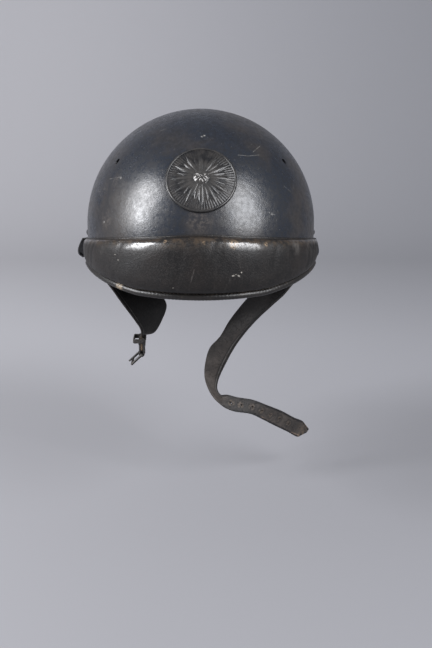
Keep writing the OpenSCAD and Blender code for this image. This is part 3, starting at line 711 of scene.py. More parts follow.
# %% [markdown]
# ## Polished and rubbed leather
# The bumper was black and polished. Its front is nearly black and dull, the crest has a
# waxy gloss, and it is rubbed brown there, with tan spots where the grain has gone. Grain
# is a fine cell pattern over a soft cloudy one. The binding has the same leather, browner.
# Each worn place is listed as the pixel at which it shows, a size in metres and a strength.

# %% What all leather shares


def leather(name, dark, light, grain=0.0011, **uniform):
    """The parts that all old leather here shares: colour, fine grain and height."""
    look = Finish(name, **uniform)
    clouds, look.fine = look.noise(0.02, 5, 0.62), look.noise(grain * 2.2, 3, 0.6)
    color = look.mix(clouds.above(0.35, 0.72), dark, light)
    look.color = look.mix(look.fine.above(0.35, 0.7) * 0.35, color, tuple(0.55 * v for v in dark))
    look.height = look.cells(grain) * 0.55 + look.fine * 0.8 + clouds * 1.5
    return look


print("leather has a cloudy colour, a fine grain and cells 1.1 mm across")

# %% Bumper leather
RUBBED = ((234, 244.5, 0.0055, 1.0), (266, 244, 0.003, 0.7), (165, 241.5, 0.002, 0.8), (204, 243, 0.002, 0.5))
CORNER_RUBS = ((101, 249, 0.005, 0.4), (296, 244, 0.008, 0.8), (309, 250, 0.008, 0.6))
CHIPPED = ((241.5, 272.5, 0.0008), (118, 260, 0.0007), (115, 254.5, 0.0006), (173, 288, 0.0005))
NICK = ((232.5, 276), (236.5, 274.8), (240, 276.5))
SCORED = ((194, 270), (192, 277), (190, 284), (189, 290))

polish = {"Specular_IOR_Level": 0.34, "Coat_Roughness": 0.16, "Coat_IOR": 1.75}
look = leather("bumper_leather", (0.0055, 0.005, 0.005), (0.012, 0.0095, 0.0085), **polish)
crest, seam = look.mark("crest"), look.mark("seam")
upright = look.noise(0.006, 4, 0.65, place=look.stretched((1, 1, 0.22)))
speck = look.noise(0.0015, 3, 0.7).above(0.46, 0.68)
brown = crest * look.noise(0.005, 5, 0.75).above(0.42, 0.60)
color = look.mix(speck * 0.45, look.color, (0.026, 0.022, 0.020))
color = look.mix(brown * 0.7, color, (0.058, 0.040, 0.025))
grey = upright.above(0.58, 0.72) * (crest * 0.5 + 0.2)
streaks, patches = upright.above(0.4, 0.55), upright.above(0.42, 0.66)
for x, y, size, strength in CORNER_RUBS:
    grey = grey.most(look.near(seen(bumper, x, y), size * 0.2, size * 1.7) * patches * strength)
for start, end in zip(SCORED, SCORED[1:]):
    grey = grey.most(look.line(seen(bumper, *start), seen(bumper, *end), 0.0008) * streaks * 0.8)
color = look.mix(grey * 0.5, color, (0.11, 0.10, 0.092))
tans = [look.near(seen(bumper, x, y), size * 0.3, size) * strength for x, y, size, strength in RUBBED]
tan = strongest(tans) * look.noise(0.0022, 4, 0.7).above(0.42, 0.58)
color = look.mix(tan * 0.8, color, (0.36, 0.25, 0.15))
torn = look.noise(0.0016, 3, 0.7).above(0.45, 0.56)
nicks = [look.line(seen(bumper, *a), seen(bumper, *b), 0.0009) * torn * 0.8 for a, b in zip(NICK, NICK[1:])]
chips = [look.near(seen(bumper, x, y), size * 0.5, size) for x, y, size in CHIPPED]
color = look.mix(strongest(chips + nicks) * 0.8, color, (0.42, 0.39, 0.35))
gloss = 0.40 + look.fine * 0.16 - crest * 0.2 + grey * 0.1 + speck * 0.08
height = (look.height + upright * 0.8) * (1 - crest * 0.6) - seam * 0.5
waxed = crest * (1.15 - look.noise(0.0024, 4, 0.75).above(0.40, 0.66))
look.wear(color, gloss, height=height, coat=waxed).on(bumper)
print("bumper leather with", len(RUBBED) + len(CORNER_RUBS), "rubbed places")

# %% Binding leather and thread
look = leather("binding_leather", (0.0075, 0.0065, 0.006), (0.015, 0.012, 0.010))
worn = look.noise(0.005, 4, 0.65).above(0.60, 0.74)
color = look.mix(worn * 0.4, look.color, (0.075, 0.056, 0.042))
frayed = look.near(seen(binding, 119, 286.5), 0.002, 0.0055) * look.noise(0.0016, 3, 0.7).above(0.42, 0.55)
color = look.mix(frayed * 0.8, color, (0.34, 0.27, 0.19))
look.wear(color, 0.34 + look.fine * 0.15, height=look.height, depth=0.00016).on(binding, hem)

look = Finish("waxed_thread", Roughness=0.8)
color = look.mix(look.noise(0.0015, 2).above(0.4, 0.65), (0.045, 0.034, 0.026), (0.10, 0.078, 0.058))
thread = look.wear(color, 0.72 + look.noise(0.001) * 0.2, height=look.noise(0.0004, 1), depth=0.00008)
thread.on(binding_thread)
print("binding sewn with", len(spots), "stitches")

# %% [markdown]
# ## The liner
# Inside, a leather headband stands off the steel on corrugated aluminium spacers, with a
# felt strip behind it, and seven tongues of leather are drawn together over the head by a
# lace. Band and felt are closed rings of one section. Each tongue is a grid drawn from its
# round tip to the band and bent over the head's sphere, thickened with solidify, and its
# edge is broken with a small bevel. Lace holes are cut through the tips.

# %% Liner measures and the section of a strap
CLEAR, SPACER_DEEP, FELT_T, BAND_T = 0.05, 12, 2.4, 2
WALL_IN = DOME_R - STEEL
SPACER_IN = WALL_IN - GAP / 2 - SPACER_DEEP
FELT_OUT = SPACER_IN - CLEAR
BAND_OUT = FELT_OUT - FELT_T - CLEAR
BAND_IN = BAND_OUT - BAND_T
BAND_LOW, BAND_TOP, FELT_INSET = 4, 38, 4


def slab(width, height, corner, across=4, up=4):
    """Section of a strap, lying from (0, 0) to (width, height), with rounded corners."""
    corners = (
        (width - corner, corner, -90), (width - corner, height - corner, 0),
        (corner, height - corner, 90), (corner, corner, 180),
    )
    points = []
    for k, (x, y, start) in enumerate(corners):
        points += [(x + c, y + s) for c, s in (turn(start + d, corner) for d in (0, 30, 60, 90))]
        next_x, next_y, begin = corners[(k + 1) % 4]
        c, s = turn(begin, corner)
        last, goal, steps = points[-1], (next_x + c, next_y + s), across if k % 2 else up
        points += [tuple(mix(a, b, t / steps) for a, b in zip(last, goal)) for t in range(1, steps)]
    return points


print("headband", round(BAND_IN, 2), "to", round(BAND_OUT, 2), "mm from the middle of the round bowl")

# %% Headband and felt


def hoop(inner, outer, low, high, corner, rough):
    """A band round the head, slightly uneven by rough millimetres."""
    sections = []
    for k in range(180):
        c, s = turn(2 * k)
        ring = []
        for x, z in slab(outer - inner, high - low, corner, across=2, up=10):
            r = inner + x
            spot = Vector((r * c * OVAL.x, r * s * OVAL.y, low + z))
            spot.z += rough * noise.noise(spot * 0.09)
            ring.append(spot)
        sections.append(ring)
    return skin(sections, closed=True)


bm = hoop(BAND_IN, BAND_OUT, BAND_LOW, BAND_TOP, corner=0.7, rough=0.25)
head_band = piece(bm, "headband_leather", "helmet", "liner_leather", "head_band")
bm = hoop(FELT_OUT - FELT_T, FELT_OUT, BAND_LOW + FELT_INSET, BAND_TOP - FELT_INSET, corner=0.8, rough=0.9)
felt = piece(bm, "felt_strip", "helmet", "felt", "felt_band")

# %% Tongues
TONGUES, TONGUE_T, LACE_RING, TIP_R, CAP_TOP = 7, 1.8, 30, 10, 118
CAP_LOW, CAP_REST = BAND_TOP + CLEAR, (BAND_IN + BAND_OUT) / 2 + 0.4
CAP_Z = (CAP_TOP**2 - CAP_REST**2 - CAP_LOW**2) / (2 * (CAP_TOP - CAP_LOW))
CAP_R = CAP_TOP - CAP_Z
TONGUE_HALF = CAP_REST * math.sin(math.pi / TONGUES) - 4.8
bm = bmesh.new()
for k in range(TONGUES):
    made = bmesh.ops.create_grid(bm, x_segments=40, y_segments=24, size=0.5)["verts"]
    for vert in made:
        along, across = vert.co.x + 0.5, 2 * vert.co.y
        c, s = turn(76 * across, TIP_R)
        base_y = TONGUE_HALF * 0.98 * across
        x = mix(LACE_RING - c, math.sqrt(CAP_REST**2 - base_y**2), along)
        y = mix(s, base_y, along)
        lift = 0.7 * math.sin(math.pi * along) * (across**2 - 0.5)
        vert.co = (x, y, CAP_Z + math.sqrt(CAP_R**2 - x * x - y * y) - max(0, lift))
    bmesh.ops.rotate(bm, verts=made, matrix=Matrix.Rotation(math.radians(-90 + 360 / TONGUES * k), 3, "Z"))
bmesh.ops.remove_doubles(bm, verts=bm.verts, dist=0.01)
bmesh.ops.recalc_face_normals(bm, faces=bm.faces)
if sum(face.normal.z for face in bm.faces) < 0:
    bmesh.ops.reverse_faces(bm, faces=bm.faces)
bmesh.ops.solidify(bm, geom=bm.faces[:], thickness=TONGUE_T)
sharp = [edge for edge in bm.edges if len(edge.link_faces) == 2 and edge.calc_face_angle() > 1.2]
bmesh.ops.bevel(
    bm, geom=sharp, offset=0.45, segments=2, profile=0.5, affect="EDGES", material=-1, clamp_overlap=True
)
bmesh.ops.scale(bm, vec=OVAL, verts=bm.verts)
tongue_leather = piece(bm, "tongue_leather", "helmet", "liner_leather", "liner_tongues")

# %% Holes for the lace
LACE_HOLE_R, LACE_HOLE_DEEP = 2.7, 16
bm = bmesh.new()
for k in range(TONGUES):
    x, y = turn(-90 + 360 / TONGUES * k, LACE_RING)
    drill(bm, Matrix.Translation((x * OVAL.x, y * OVAL.y, CAP_TOP - 4)), LACE_HOLE_R, LACE_HOLE_DEEP)
cut(tongue_leather, bm)
soften(tongue_leather)
print(TONGUES, "holes, now", len(tongue_leather.data.polygons), "faces")

# %% Lace
LACE_R, LACE_SWING = 1.1, 3.4
LACE_Z = CAP_Z + math.sqrt((CAP_R - TONGUE_T / 2) ** 2 - LACE_RING**2)


def tube(points, radius, sides=10):
    """A round cord through points, closed into a ring."""
    rings = []
    for k, spot in enumerate(points):
        ahead, behind = beside(points, k, closed=True)
        lie = (ahead - behind).to_track_quat("Z", "X").to_matrix()
        rings.append([spot + lie @ Vector((*turn(360 * j / sides, radius), 0)) for j in range(sides)])
    return skin(rings, closed=True)


def lace_spot(degrees):
    c, s = turn(degrees - 90, LACE_RING)
    return Vector((c * OVAL.x, s * OVAL.y, LACE_Z + LACE_SWING * math.sin(math.radians(TONGUES * degrees))))


bm = tube([lace_spot(360 * k / 252) for k in range(252)], LACE_R)
lace = piece(bm, "lace", "helmet", "lace_cord", "liner_lace", degrees=80)

KNOT_R, KNOT_WIDE, KNOT_HIGH = 0.62, 0.62, 0.9
knot_at = lace_spot(180 / TONGUES)
knot_line = []
for k in range(72):
    a = math.tau * k / 72
    x, y, z = math.sin(a) + 2 * math.sin(2 * a), math.cos(a) - 2 * math.cos(2 * a), -math.sin(3 * a)
    knot_line.append(knot_at + Vector((x * KNOT_WIDE, y * KNOT_WIDE, z * KNOT_HIGH)))
lace_knot = piece(tube(knot_line, KNOT_R, sides=8), "lace_knot", "helmet", "lace_cord", degrees=80)

# %% [markdown]
# ## Liner finishes
# The liner's leather never saw the sun: brown, dull, darkened by wear where the head rubs.
# Felt is grey and matt with a fuzz of fibres, the lace is a waxed cord, and the spacers are
# bare aluminium that has gone dull. The clips, loops and buckle are blackened steel whose
# edges have rubbed bright.

# %% Liner leather, felt and lace
look = leather("liner_leather", (0.085, 0.045, 0.022), (0.17, 0.095, 0.050), grain=0.0014)
stain = look.noise(0.03, 4, 0.6).above(0.45, 0.75)
color = look.mix(stain * 0.6, look.color, (0.045, 0.026, 0.015))
look.wear(color, 0.6 + look.fine * 0.15, height=look.height, depth=0.0003).on(head_band, tongue_leather)

look = Finish("grey_felt", Roughness=0.95)
fuzz = look.noise(0.0009, 3, 0.7, distort=1.5)
color = look.mix(look.noise(0.01, 3), (0.16, 0.15, 0.13), (0.27, 0.255, 0.225))
color = look.mix(fuzz.above(0.5, 0.75) * 0.4, color, (0.40, 0.38, 0.34))
look.wear(color, height=fuzz, depth=0.0006).on(felt)

look = Finish("waxed_lace", Roughness=0.7)
lay = {"Vector": look.place, "Scale": 260.0, "Distortion": 1.0}
twist = look.node("ShaderNodeTexWave", {"bands_direction": "DIAGONAL"}, lay, "Fac")
color = look.mix(twist * 0.6, (0.07, 0.045, 0.026), (0.16, 0.115, 0.07))
look.wear(color, 0.6 + twist * 0.15, height=twist, depth=0.0003).on(lace, lace_knot)
print("liner finished")

# %% Aluminium and blackened steel
look = Finish("dull_aluminium", Metallic=1.0)
cloud, fine = look.noise(0.01, 4, 0.6), look.noise(0.0015, 3, place=look.stretched((1, 1, 0.1)))
color = look.mix(cloud.above(0.4, 0.7), (0.42, 0.42, 0.41), (0.60, 0.60, 0.59))
aluminium = look.wear(color, 0.40 + cloud * 0.2, height=fine, depth=0.00005)

look = Finish("blackened_steel", Roughness=0.42)
cloud, fine = look.noise(0.006, 4, 0.65), look.noise(0.0012, 3, 0.6)
edge = look.node("ShaderNodeNewGeometry", out="Pointiness").above(0.50, 0.58)
bright = edge.most(cloud.above(0.58, 0.7)) * fine.above(0.35, 0.6)
color = look.mix(bright, (0.035, 0.033, 0.031), (0.20, 0.19, 0.175))
color = look.mix(look.noise(0.004, 3).above(0.62, 0.72) * 0.6, color, (0.09, 0.045, 0.025))
blackened = look.wear(color, 0.5 - bright * 0.15, 0.4 + bright * 0.5, fine, 0.00008)

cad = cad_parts
spacers = [cad["spacer_" + side] for side in ("front", "rear", "left", "right")]
fittings = [cad[name] for name in (
    "liner_clips", "strap_loop_left", "strap_loop_right", "ear_rivets_left", "ear_rivets_right",
    "tab_rivet", "buckle_frame", "buckle_prong",
)]
aluminium.on(*spacers)
blackened.on(*fittings)
print(len(spacers), "spacers and", len(fittings), "steel fittings keep the shapes of the frame")

# %% [markdown]
# ## The ear pieces and the chin strap
# A wide ear piece hangs from each wire loop. The left one narrows to the buckle. The right
# one narrows into the long strap with its row of holes, and old leather keeps the curl it
# was left in. Each is a skin of flat, round-edged sections through stations measured down
# both of its edges, joined by a smooth line. The top is turned round the loop's bar. How
# far a point is from the edge is kept on it, because edges wear first.

# %% Stations of the leather, counted from the middle of its bar
BAR_X, BAR_Z, LEATHER_T, STEPS = 101.989, -3, 2.2, 8
LEFT = (
    ((0.5, -16, -3), (1, 16, -3)), ((11, -17, -15), (23, 31, -18)), ((20, -16, -29), (50, 42, -34)),
    ((29, -12, -44), (65, 43, -52)), ((36, -6, -57), (61, 37, -68)), ((41, 0, -68), (53, 27, -79)),
    ((41, 2, -79), (41, 18, -80.5)), ((41, 2, -91), (41, 18, -91)),
)
RIGHT = (
    ((-1, 16, -3), (-0.5, -16, -3)), ((-19, 30, -18), (-11, -18, -14)), ((-40, 42, -35), (-20, -14, -27)),
    ((-56, 43, -52), (-32, -3, -43)), ((-71, 39, -71), (-44, 12, -61)), ((-81, 36, -87), (-56, 24, -81)),
    ((-92, 33, -99), (-66, 31, -99)), ((-97, 30, -116), (-75, 34, -118)),
    ((-97, 28, -131), (-82, 40, -136)), ((-93, 25, -143), (-84, 38, -147)),
    ((-86, 21, -153), (-80, 35, -154)), ((-77, 18, -161), (-73, 28, -151)),
    ((-65, 17, -166), (-62, 26, -153)), ((-48, 20, -170), (-45, 26, -156)),
    ((-35, 27, -179), (-29, 30, -164)), ((-21, 38, -191), (-13, 41, -175)),
    ((-5, 50, -204), (3, 52, -188)), ((10, 60, -215), (15, 61, -197.5)), ((18.5, 64, -212), (21.5, 64, -207)),
)
print("the left ear piece has", len(LEFT), "stations, the right one with its strap", len(RIGHT))

# %% A smooth line


def curve(points, at):
    """A smooth line through points, as in the frame: its last stretch is straight."""
    last = len(points) - 1
    i = min(int(at), last - 1)
    b, c, t = points[i], points[i + 1], at - i
    if i == last - 1:
        return b.lerp(c, t)
    a = points[max(i - 1, 0)]
    d = points[i] + 2 * (points[last] - points[last - 1]) if i == last - 2 else points[i + 2]
    return 0.5 * (2 * b + (c - a) * t + (2 * a - 5 * b + 4 * c - d) * t * t + (3 * b - a - 3 * c + d) * t**3)


print("a curve passes through all its points")

# %% Leather through stations


class Hide:
    """A strap of leather through its stations, on the left (-1) or the right (1) side."""

    def __init__(self, side, stations):
        bar = Vector((side * BAR_X, 0, BAR_Z))
        self.edges = [[Vector(pair[k]) + bar for pair in stations] for k in (0, 1)]
        self.long, self.side = len(stations) - 1, side

    def at(self, station, share=0.5, out=0.0):
        """The place at a station, a share of the way across, out along the outer face."""
        one, other = (curve(edge, station) for edge in self.edges)
        return one.lerp(other, share) + out * self.facing(station)

    def facing(self, station):
        before, after = max(station - 0.1, 0), min(station + 0.1, self.long)
        across = curve(self.edges[1], station) - curve(self.edges[0], station)
        middles = [(curve(self.edges[0], s) + curve(self.edges[1], s)) / 2 for s in (before, after)]
        return across.cross(middles[1] - middles[0]).normalized()

    def width(self, station):
        return (curve(self.edges[1], station) - curve(self.edges[0], station)).length

    def inset(self, station, millimetres):
        """The share of the width that lies millimetres in from the first edge."""
        return millimetres / self.width(station)

    def outline(self, station):
        """The edge of the leather's section as (across, up), from the first edge's inner side."""
        return slab(self.width(station), LEATHER_T, 0.85, across=14, up=2)

    def section(self, station):
        points = []
        for x, y in self.outline(station):
            spot = self.at(station, self.inset(station, x), y - LEATHER_T / 2)
            ripple = noise.noise(spot * 0.06) * 0.5 + noise.noise(spot * 0.2) * 0.12
            points.append(spot + ripple * self.facing(station) * min(1, station))
        return points

    def bm(self):
        """The skin, marked with how far each point is from the edges and down the strap."""
        stations = [k / STEPS for k in range(self.long * STEPS + 1)]
        wide = [self.width(station) for station in stations]
        across = [[x for x, _ in self.outline(station)] for station in stations]
        marks = {
            "from_edge": lambda i, j: min(across[i][j], wide[i] - across[i][j]),
            "from_welt": lambda i, j: wide[i] - across[i][j] if self.side > 0 else across[i][j],
            "station": lambda i, j: stations[i],
        }
        return skin([self.section(station) for station in stations], marks=marks)


left, right = Hide(-1, LEFT), Hide(1, RIGHT)
print("strap width at four stations", [round(right.width(k), 1) for k in (10, 12, 14, 16)])

# %% The two ear pieces
FOLD_HALF, FOLD_IN, FOLD_OUT = 16, 1.62, 3.8


def fold(side):
    """The leather's top, turned round the bar of its loop."""
    outline = [(FOLD_IN, 15.5), (1.9, 15.9), (3.3, FOLD_HALF), (3.75, 15.6)]
    outline += [(FOLD_OUT, 15), (FOLD_OUT, 7.5), (FOLD_OUT, 0)]
    outline += [(r, -y) for r, y in reversed(outline[:-1])]
    outline += [(FOLD_IN, -8), (FOLD_IN, 0), (FOLD_IN, 8)]
    rings = [
        [Vector((side * BAR_X + r * c, y, BAR_Z + r * s)) for c, s in (turn(360 * j / 40) for j in range(40))]
        for r, y in outline
    ]
    marks = {
        "from_edge": lambda i, j: FOLD_HALF - abs(outline[i][1]),
        "from_welt": lambda i, j: 9.0,
        "station": lambda i, j: 0.0,
    }
    return skin(rings, closed=True, marks=marks)


def joined(*parts):
    """Several shapes in one, each keeping its marks."""
    whole = parts[0]
    for part in parts[1:]:
        mesh = bpy.data.meshes.new("part")
        part.to_mesh(mesh)
        part.free()
        whole.from_mesh(mesh)
        bpy.data.meshes.remove(mesh)
    return whole


bm = joined(left.bm(), fold(-1))
ear_left = piece(bm, "ear_leather_left", "ear_left", "strap_leather", "ear_piece_left", degrees=50)
bm = joined(right.bm(), fold(1))
ear_right = piece(bm, "ear_leather_right", "ear_right", "strap_leather", "ear_piece_right", degrees=50)

# %% Punch the strap's holes
HOLES, FIRST_HOLE, HOLE_PITCH, HOLE_R, HOLE_DEEP, PULLED = 7, 11.6, 0.7, 1.05, 8, -1.1
hole_places = [right.at(FIRST_HOLE + HOLE_PITCH * k) for k in range(HOLES)]
bm = bmesh.new()
for k, spot in enumerate(hole_places):
    station = FIRST_HOLE + HOLE_PITCH * k
    along = (right.at(station + 0.1) - right.at(station - 0.1)).normalized()
    slant = right.facing(station) + (PULLED if k else -PULLED) * along
    lie = slant.to_track_quat("Z", "Y").to_matrix().to_4x4()
    drill(bm, Matrix.Translation(spot) @ lie, HOLE_R, HOLE_DEEP)
cut(ear_right, bm)
soften(ear_right, 50)
print(HOLES, "holes, first at", [round(v) for v in hole_places[0]])

# %% Stitches along the edges of both ear pieces


def edge_row(hide, first, last, inset, out=1.15, pitch=4.2, far=False):
    """Stitches inset millimetres in from an edge, from one station to another."""
    spots, run, station, before = [], 0.0, first, None
    while station < last:
        share = hide.inset(station, inset)
        spot = hide.at(station, 1 - share if far else share, out)
        run += (spot - before).length if before else 0
        if before and run >= pitch:
            spots.append((spot, spot - before))
            run = 0.0
        before, station = spot, station + 0.02
    return spots


left_rows = edge_row(left, 0.5, 6.2, 2.6) + edge_row(left, 0.5, 5.8, 2.6, far=True)
right_rows = edge_row(right, 0.5, 12, 2.4) + edge_row(right, 0.5, 12, 2.4, far=True)
right_rows += edge_row(right, 1, 7, 5.2, far=True)
left_thread = stitches("ear_thread_left", "ear_left", left_rows, thick=0.5, long=2.8)
right_thread = stitches("ear_thread_right", "ear_right", right_rows, thick=0.5, long=2.8)
thread.on(left_thread, right_thread)

# %% [markdown]
# ## The buckle's leather
# A small tab of thinner leather is folded round the buckle's bar, with a slot for the
# prong, and riveted to the ear piece between its two legs. A loop of leather round both
# keeps the end of the strap down.

# %% The tab
TAB = Vector((-61, 10, 0))
TAB_T, TAB_HALF, TAB_BAR_Z, TAB_TOP, TAB_LEG, TAB_BORE = 1.6, 8, -98.5, -80.5, 1.2, 1.4
mid_r = TAB_BORE + TAB_T / 2
path = [(TAB_LEG + TAB_T / 2, TAB_TOP - 1.6 * k) for k in range(10)]
path += [(c, TAB_BAR_Z + s) for c, s in (turn(20 - 22 * k, mid_r) for k in range(11))]
path += [(-x, z) for x, z in reversed(path[:10])]


def along_path(path, width, thick, corner):
    """A strap of leather whose length follows a path of (x, z), lying flat across y."""
    sections = []
    for k, (x, z) in enumerate(path):
        ahead, behind = beside(path, k)
        way = Vector((ahead[0] - behind[0], 0, ahead[1] - behind[1])).normalized()
        out = Vector((-way.z, 0, way.x))
        sections.append([
            Vector((x, 0, z)) + out * (v - thick / 2) + Vector((0, u - width / 2, 0))
            for u, v in slab(width, thick, corner, across=8, up=2)
        ])
    return skin(sections)


bm = along_path(path, 2 * TAB_HALF, TAB_T, 0.6)
bmesh.ops.translate(bm, verts=bm.verts, vec=TAB)
tab = piece(bm, "tab_leather", "ear_left", "strap_leather", "buckle_tab", degrees=50)

# %% The tab's slot for the prong
SLOT_HALF, SLOT_RISE, SLOT_DROP = 2.3, 6.2, 6
bm = bmesh.new()
bmesh.ops.create_cube(bm, size=1)
bmesh.ops.scale(bm, verts=bm.verts, vec=(12, 2 * SLOT_HALF, SLOT_RISE + SLOT_DROP))
upright_edges = [edge for edge in bm.edges if abs(edge.verts[0].co.x - edge.verts[1].co.x) > 1]
bmesh.ops.bevel(bm, geom=upright_edges, offset=1.6, segments=4, profile=0.5, affect="EDGES", material=-1)
bmesh.ops.translate(bm, verts=bm.verts, vec=TAB + Vector((0, 0, TAB_BAR_Z + (SLOT_RISE - SLOT_DROP) / 2)))
cut(tab, bm)
soften(tab, 50)
print("slot", 2 * SLOT_HALF, "mm wide, to", SLOT_RISE, "mm above the bar")

# %% The keeper
KEEPER_T, KEEPER_H, KEEPER_ROOM = 1.4, 4.6, 4.4
keeper_z = TAB_TOP - KEEPER_H / 2 - 1
half_x, half_y = TAB_LEG + TAB_T + CLEAR + KEEPER_T / 2, TAB_HALF + CLEAR + KEEPER_T / 2
loop_line = slab(2 * half_x + KEEPER_ROOM, 2 * half_y, 1.0, across=6, up=10)
sections = []
for k, (x, y) in enumerate(loop_line):
    (x1, y1), (x0, y0) = beside(loop_line, k, closed=True)
    out = Vector((y1 - y0, x0 - x1, 0)).normalized()
    middle = TAB + Vector((x - half_x - KEEPER_ROOM, y - half_y, keeper_z))
    sections.append([
        middle + out * (u - KEEPER_T / 2) + Vector((0, 0, v - KEEPER_H / 2))
        for u, v in slab(KEEPER_T, KEEPER_H, 0.5, across=2, up=4)
    ])
bm = skin(sections, closed=True)
keeper = piece(bm, "keeper_leather", "ear_left", "strap_leather", "strap_keeper", degrees=50)

# %% [markdown]
# ## Worn strap leather
# The straps are black leather that has gone dull and dry. A welt runs down one edge of each
# ear piece, rubbed grey on its ridge, and the strap's rims are nearly black. The grain side
# shows fine cracks, each hole has a grey-brown rub in a dark ring, and the tip is tan. The
# left ear piece is darkened as painted shade and the right one lightened as painted light, and
# two tan lines by the strap's lower edge are rubbed leather with a painted highlight. How
# far a point is from the edges and down the strap comes from the marks on the points.

# %% Strap leather
BLACK, NEAR_BLACK, DULL = (0.005, 0.005, 0.005), (0.006, 0.006, 0.007), (0.01, 0.01, 0.01)
RIDGE, DRY, HOLE_RUB = (0.12, 0.115, 0.11), (0.075, 0.062, 0.052), (0.1, 0.078, 0.062)
TIP_BROWN, TIP_TAN, STREAK_AND_HIGHLIGHT = (0.12, 0.085, 0.055), (0.27, 0.19, 0.125), (0.3, 0.215, 0.165)
TIP_WORN, TIP_FADED, HOLE_DARK, HOLE_CLEAN = 0.004, 0.022, 0.0042, 0.0062
NEW_DARK, NEW_LIGHT = (0.016, 0.014, 0.013), (0.032, 0.027, 0.024)


def band(mark, start, full, ease, end):
    """A mask that rises from start to full and falls again from ease to end."""
    return mark.above(start, full) * (1 - mark.above(ease, end))


def strap(name, *things, hide=None, holes=(), rubs_and_highlights=(), painted_light_level=1.0, shine=0.5):
    """Strap leather, its colours scaled by a painted light level; of a Hide, also with its welt, rims, holes,
    rubs that carry a painted highlight, and tip.
    """
    # The painted light level darkens the leather as painted shade below 1 and lightens it as painted light
    # above 1.
    dark, light = (tuple(painted_light_level * v for v in color) for color in (NEW_DARK, NEW_LIGHT))
    look = leather(name, dark, light, grain=0.0009, Specular_IOR_Level=shine)
    color, height = look.color, look.height
    cracks = look.noise(0.0035, 5, 0.75, distort=0.6).above(0.56, 0.62)
    worn = look.noise(0.004, 5, 0.7)
    edge = worn.above(0.55, 0.7)
    if hide:
        welt, down, from_edge = look.mark("from_welt"), look.mark("station"), look.mark("from_edge")
        upper = 1 - down.above(9.5, 11.5)
        color = look.mix((1 - welt.above(2.6, 3.2)) * upper * 0.8, color, BLACK)
        color = look.mix(band(welt, 4.6, 5.0, 5.4, 6.4) * upper * 0.7, color, BLACK)
        ridge = band(welt, 2.9, 3.5, 4.1, 4.8) * upper
        color = look.mix(ridge * worn.above(0.36, 0.56) * 0.7, color, RIDGE)
        height = height + ridge * 2
        rim = (1 - (from_edge + worn * 3).above(2.6, 4.6)) * (1 - upper)
        color = look.mix(rim * 0.95, color, NEAR_BLACK)
        # Darker towards the loop at the top of each ear piece.
        color = look.mix((1 - down.above(2, 8)) * min(painted_light_level, 1) * 0.75, color, NEAR_BLACK)
        color = look.mix(band(down, 10.6, 11.6, 12.8, 14) * 0.55, color, DULL)
        edge = (1 - (from_edge + worn * 2.4 - 1.2).above(0.3, 1.9)) * (1 - upper * 0.7)
        edge = edge * (upper + (1 - upper) * worn.above(0.5, 0.62))
    color = look.mix(worn.above(0.58, 0.75) * 0.4, color, DRY)
    color = look.mix(edge * 0.5, color, DRY)
    for spot in holes:
        color = look.mix(look.near(spot * MM, HOLE_DARK, HOLE_CLEAN) * 0.55, color, DULL)
        rub = look.near(spot * MM, 0.0026, 0.0048) * look.noise(0.0022, 3, 0.6).above(0.38, 0.58)
        color = look.mix(rub * 0.6, color, HOLE_RUB)
    if hide:
        tip = look.near(hide.at(hide.long) * MM, TIP_WORN, TIP_FADED)
        color = look.mix(tip * worn.above(0.42, 0.62) * 0.6, color, TIP_BROWN)
        color = look.mix(edge * tip, color, TIP_TAN)
    # Tan lines along given stretches: rubbed leather that also carries a painted highlight along the lower
    # edge.
    for start, end, share in rubs_and_highlights:
        ends = (hide.at(station, share) * MM for station in (start, end))
        color = look.mix(look.line(*ends, 0.0015) * worn.above(0.36, 0.5), color, STREAK_AND_HIGHLIGHT)
    gloss = 0.52 + look.fine * 0.2 + edge * 0.12
    return look.wear(color, gloss, height=height - cracks * 1.2, depth=0.00028).on(*things)


print("the wear of a tip fades over", TIP_FADED / MM, "mm, the dirt of a hole over", HOLE_CLEAN / MM, "mm")

# %% Dress the ear pieces, the tab and the keeper
# Two tan lines near the lower edge: rubbed leather and a painted highlight.
RUBS_AND_HIGHLIGHTS = ((16.25, 16.95, 0.1), (13.9, 14.4, 0.13))
# Same leather: the left ear piece darkened as painted shade, the right one lightened as painted light.
strap("ear_leather_painted_shade_left", ear_left, hide=left, painted_light_level=0.4, shine=0.25)
strap("ear_leather_painted_light_right", ear_right, hide=right, holes=hole_places, rubs_and_highlights=RUBS_AND_HIGHLIGHTS, painted_light_level=2.0, shine=0.34)
strap("buckle_leather_finish", tab, keeper)
print("strap leather with", len(hole_places), "rubbed holes and", len(RUBS_AND_HIGHLIGHTS), "tan streaks")
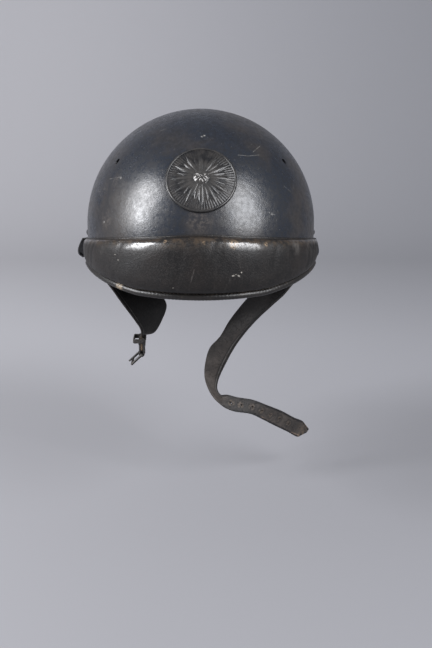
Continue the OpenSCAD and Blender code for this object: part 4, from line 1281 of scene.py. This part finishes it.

# %% [markdown]
# ## The studio
# A pale floor runs up into a backdrop without a corner, so that nothing behind the helmet
# draws the eye. Its colour holds a painted falloff of the light: lighter on the left, darker
# to the right and towards the camera. Two large soft lamps stand left and right of the camera,
# where the bowl's two highlights say the real ones were, a weak one lights the backdrop on the
# left, and the world fills the shadows.

# %% Floor and backdrop
FLOOR_Z, FLOOR_FRONT, FLOOR_BACK = -0.262, -3.2, 1.1
SWEEP_R, SWEEP_TOP, SWEEP_HALF = 0.7, 3.2, 3.5
bm = bmesh.new()
profile = [(FLOOR_FRONT, FLOOR_Z), (FLOOR_BACK, FLOOR_Z)]
for k in range(1, 13):
    c, s = turn(-90 + 7.5 * k, SWEEP_R)
    profile.append((FLOOR_BACK + c, FLOOR_Z + SWEEP_R + s))
profile.append((FLOOR_BACK + SWEEP_R, SWEEP_TOP))
line = [bm.verts.new((-SWEEP_HALF, y, z)) for y, z in profile]
edges = [bm.edges.new(pair) for pair in zip(line, line[1:])]
made = bmesh.ops.extrude_edge_only(bm, edges=edges)["geom"]
far_side = [part for part in made if isinstance(part, bmesh.types.BMVert)]
bmesh.ops.translate(bm, verts=far_side, vec=(2 * SWEEP_HALF, 0, 0))
bmesh.ops.recalc_face_normals(bm, faces=bm.faces)
sweep = as_object(bm, "studio_sweep")
sweep.data.shade_smooth()
paper = Finish("studio_paper", Roughness=0.9)
x, y = (paper.vector("DOT_PRODUCT", paper.place, way, 1) for way in ((1, 0, 0), (0, 1, 0)))
# Painted light falloff: the paper's colour is lighter on the left and darker to the right.
painted_falloff = paper.mix((x + 0.6).above(0, 1.4), (0.345, 0.342, 0.362), (0.268, 0.270, 0.291))
# Painted shade: the floor is darkened towards the camera.
painted_falloff = paper.mix((1 - y.above(-0.1, 0.6)) * 0.28, painted_falloff, (0, 0, 0))
paper.wear(painted_falloff).on(sweep)
print("floor", FLOOR_Z, "m below the rim, turned up over", SWEEP_R, "m")

# %% Lamps and world


def lamp(name, place, size, power, color=(1, 1, 1), aim=(0, 0, 0.06)):
    light = bpy.data.objects.new(name, bpy.data.lights.new(name, "AREA"))
    light.data.shape = "RECTANGLE"
    light.data.size, light.data.size_y = size
    light.data.energy = power
    light.data.color = color
    light.location = place
    light.rotation_euler = (Vector(aim) - Vector(place)).to_track_quat("-Z", "Y").to_euler()
    bpy.context.scene.collection.objects.link(light)


lamp("soft_left", (-1.44, -0.55, 0.735), (0.50, 1.15), 53, (0.96, 0.97, 1))
lamp("soft_right", (1.134, -0.978, 0.8575), (0.85, 1.25), 45, (0.96, 0.97, 1))
lamp("backdrop_left", (-1.2, 0.5, 0.9), (0.8, 0.8), 6, aim=(-1.0, 1.7, 0.2))
world = bpy.data.worlds.new("studio_air")
world.use_nodes = True
world.node_tree.nodes["Background"].inputs["Color"].default_value = (0.44, 0.45, 0.475, 1)
world.node_tree.nodes["Background"].inputs["Strength"].default_value = 0.44
bpy.context.scene.world = world
bpy.context.scene.view_settings.view_transform = "Standard"
print("two soft lamps, one for the backdrop and a grey world")
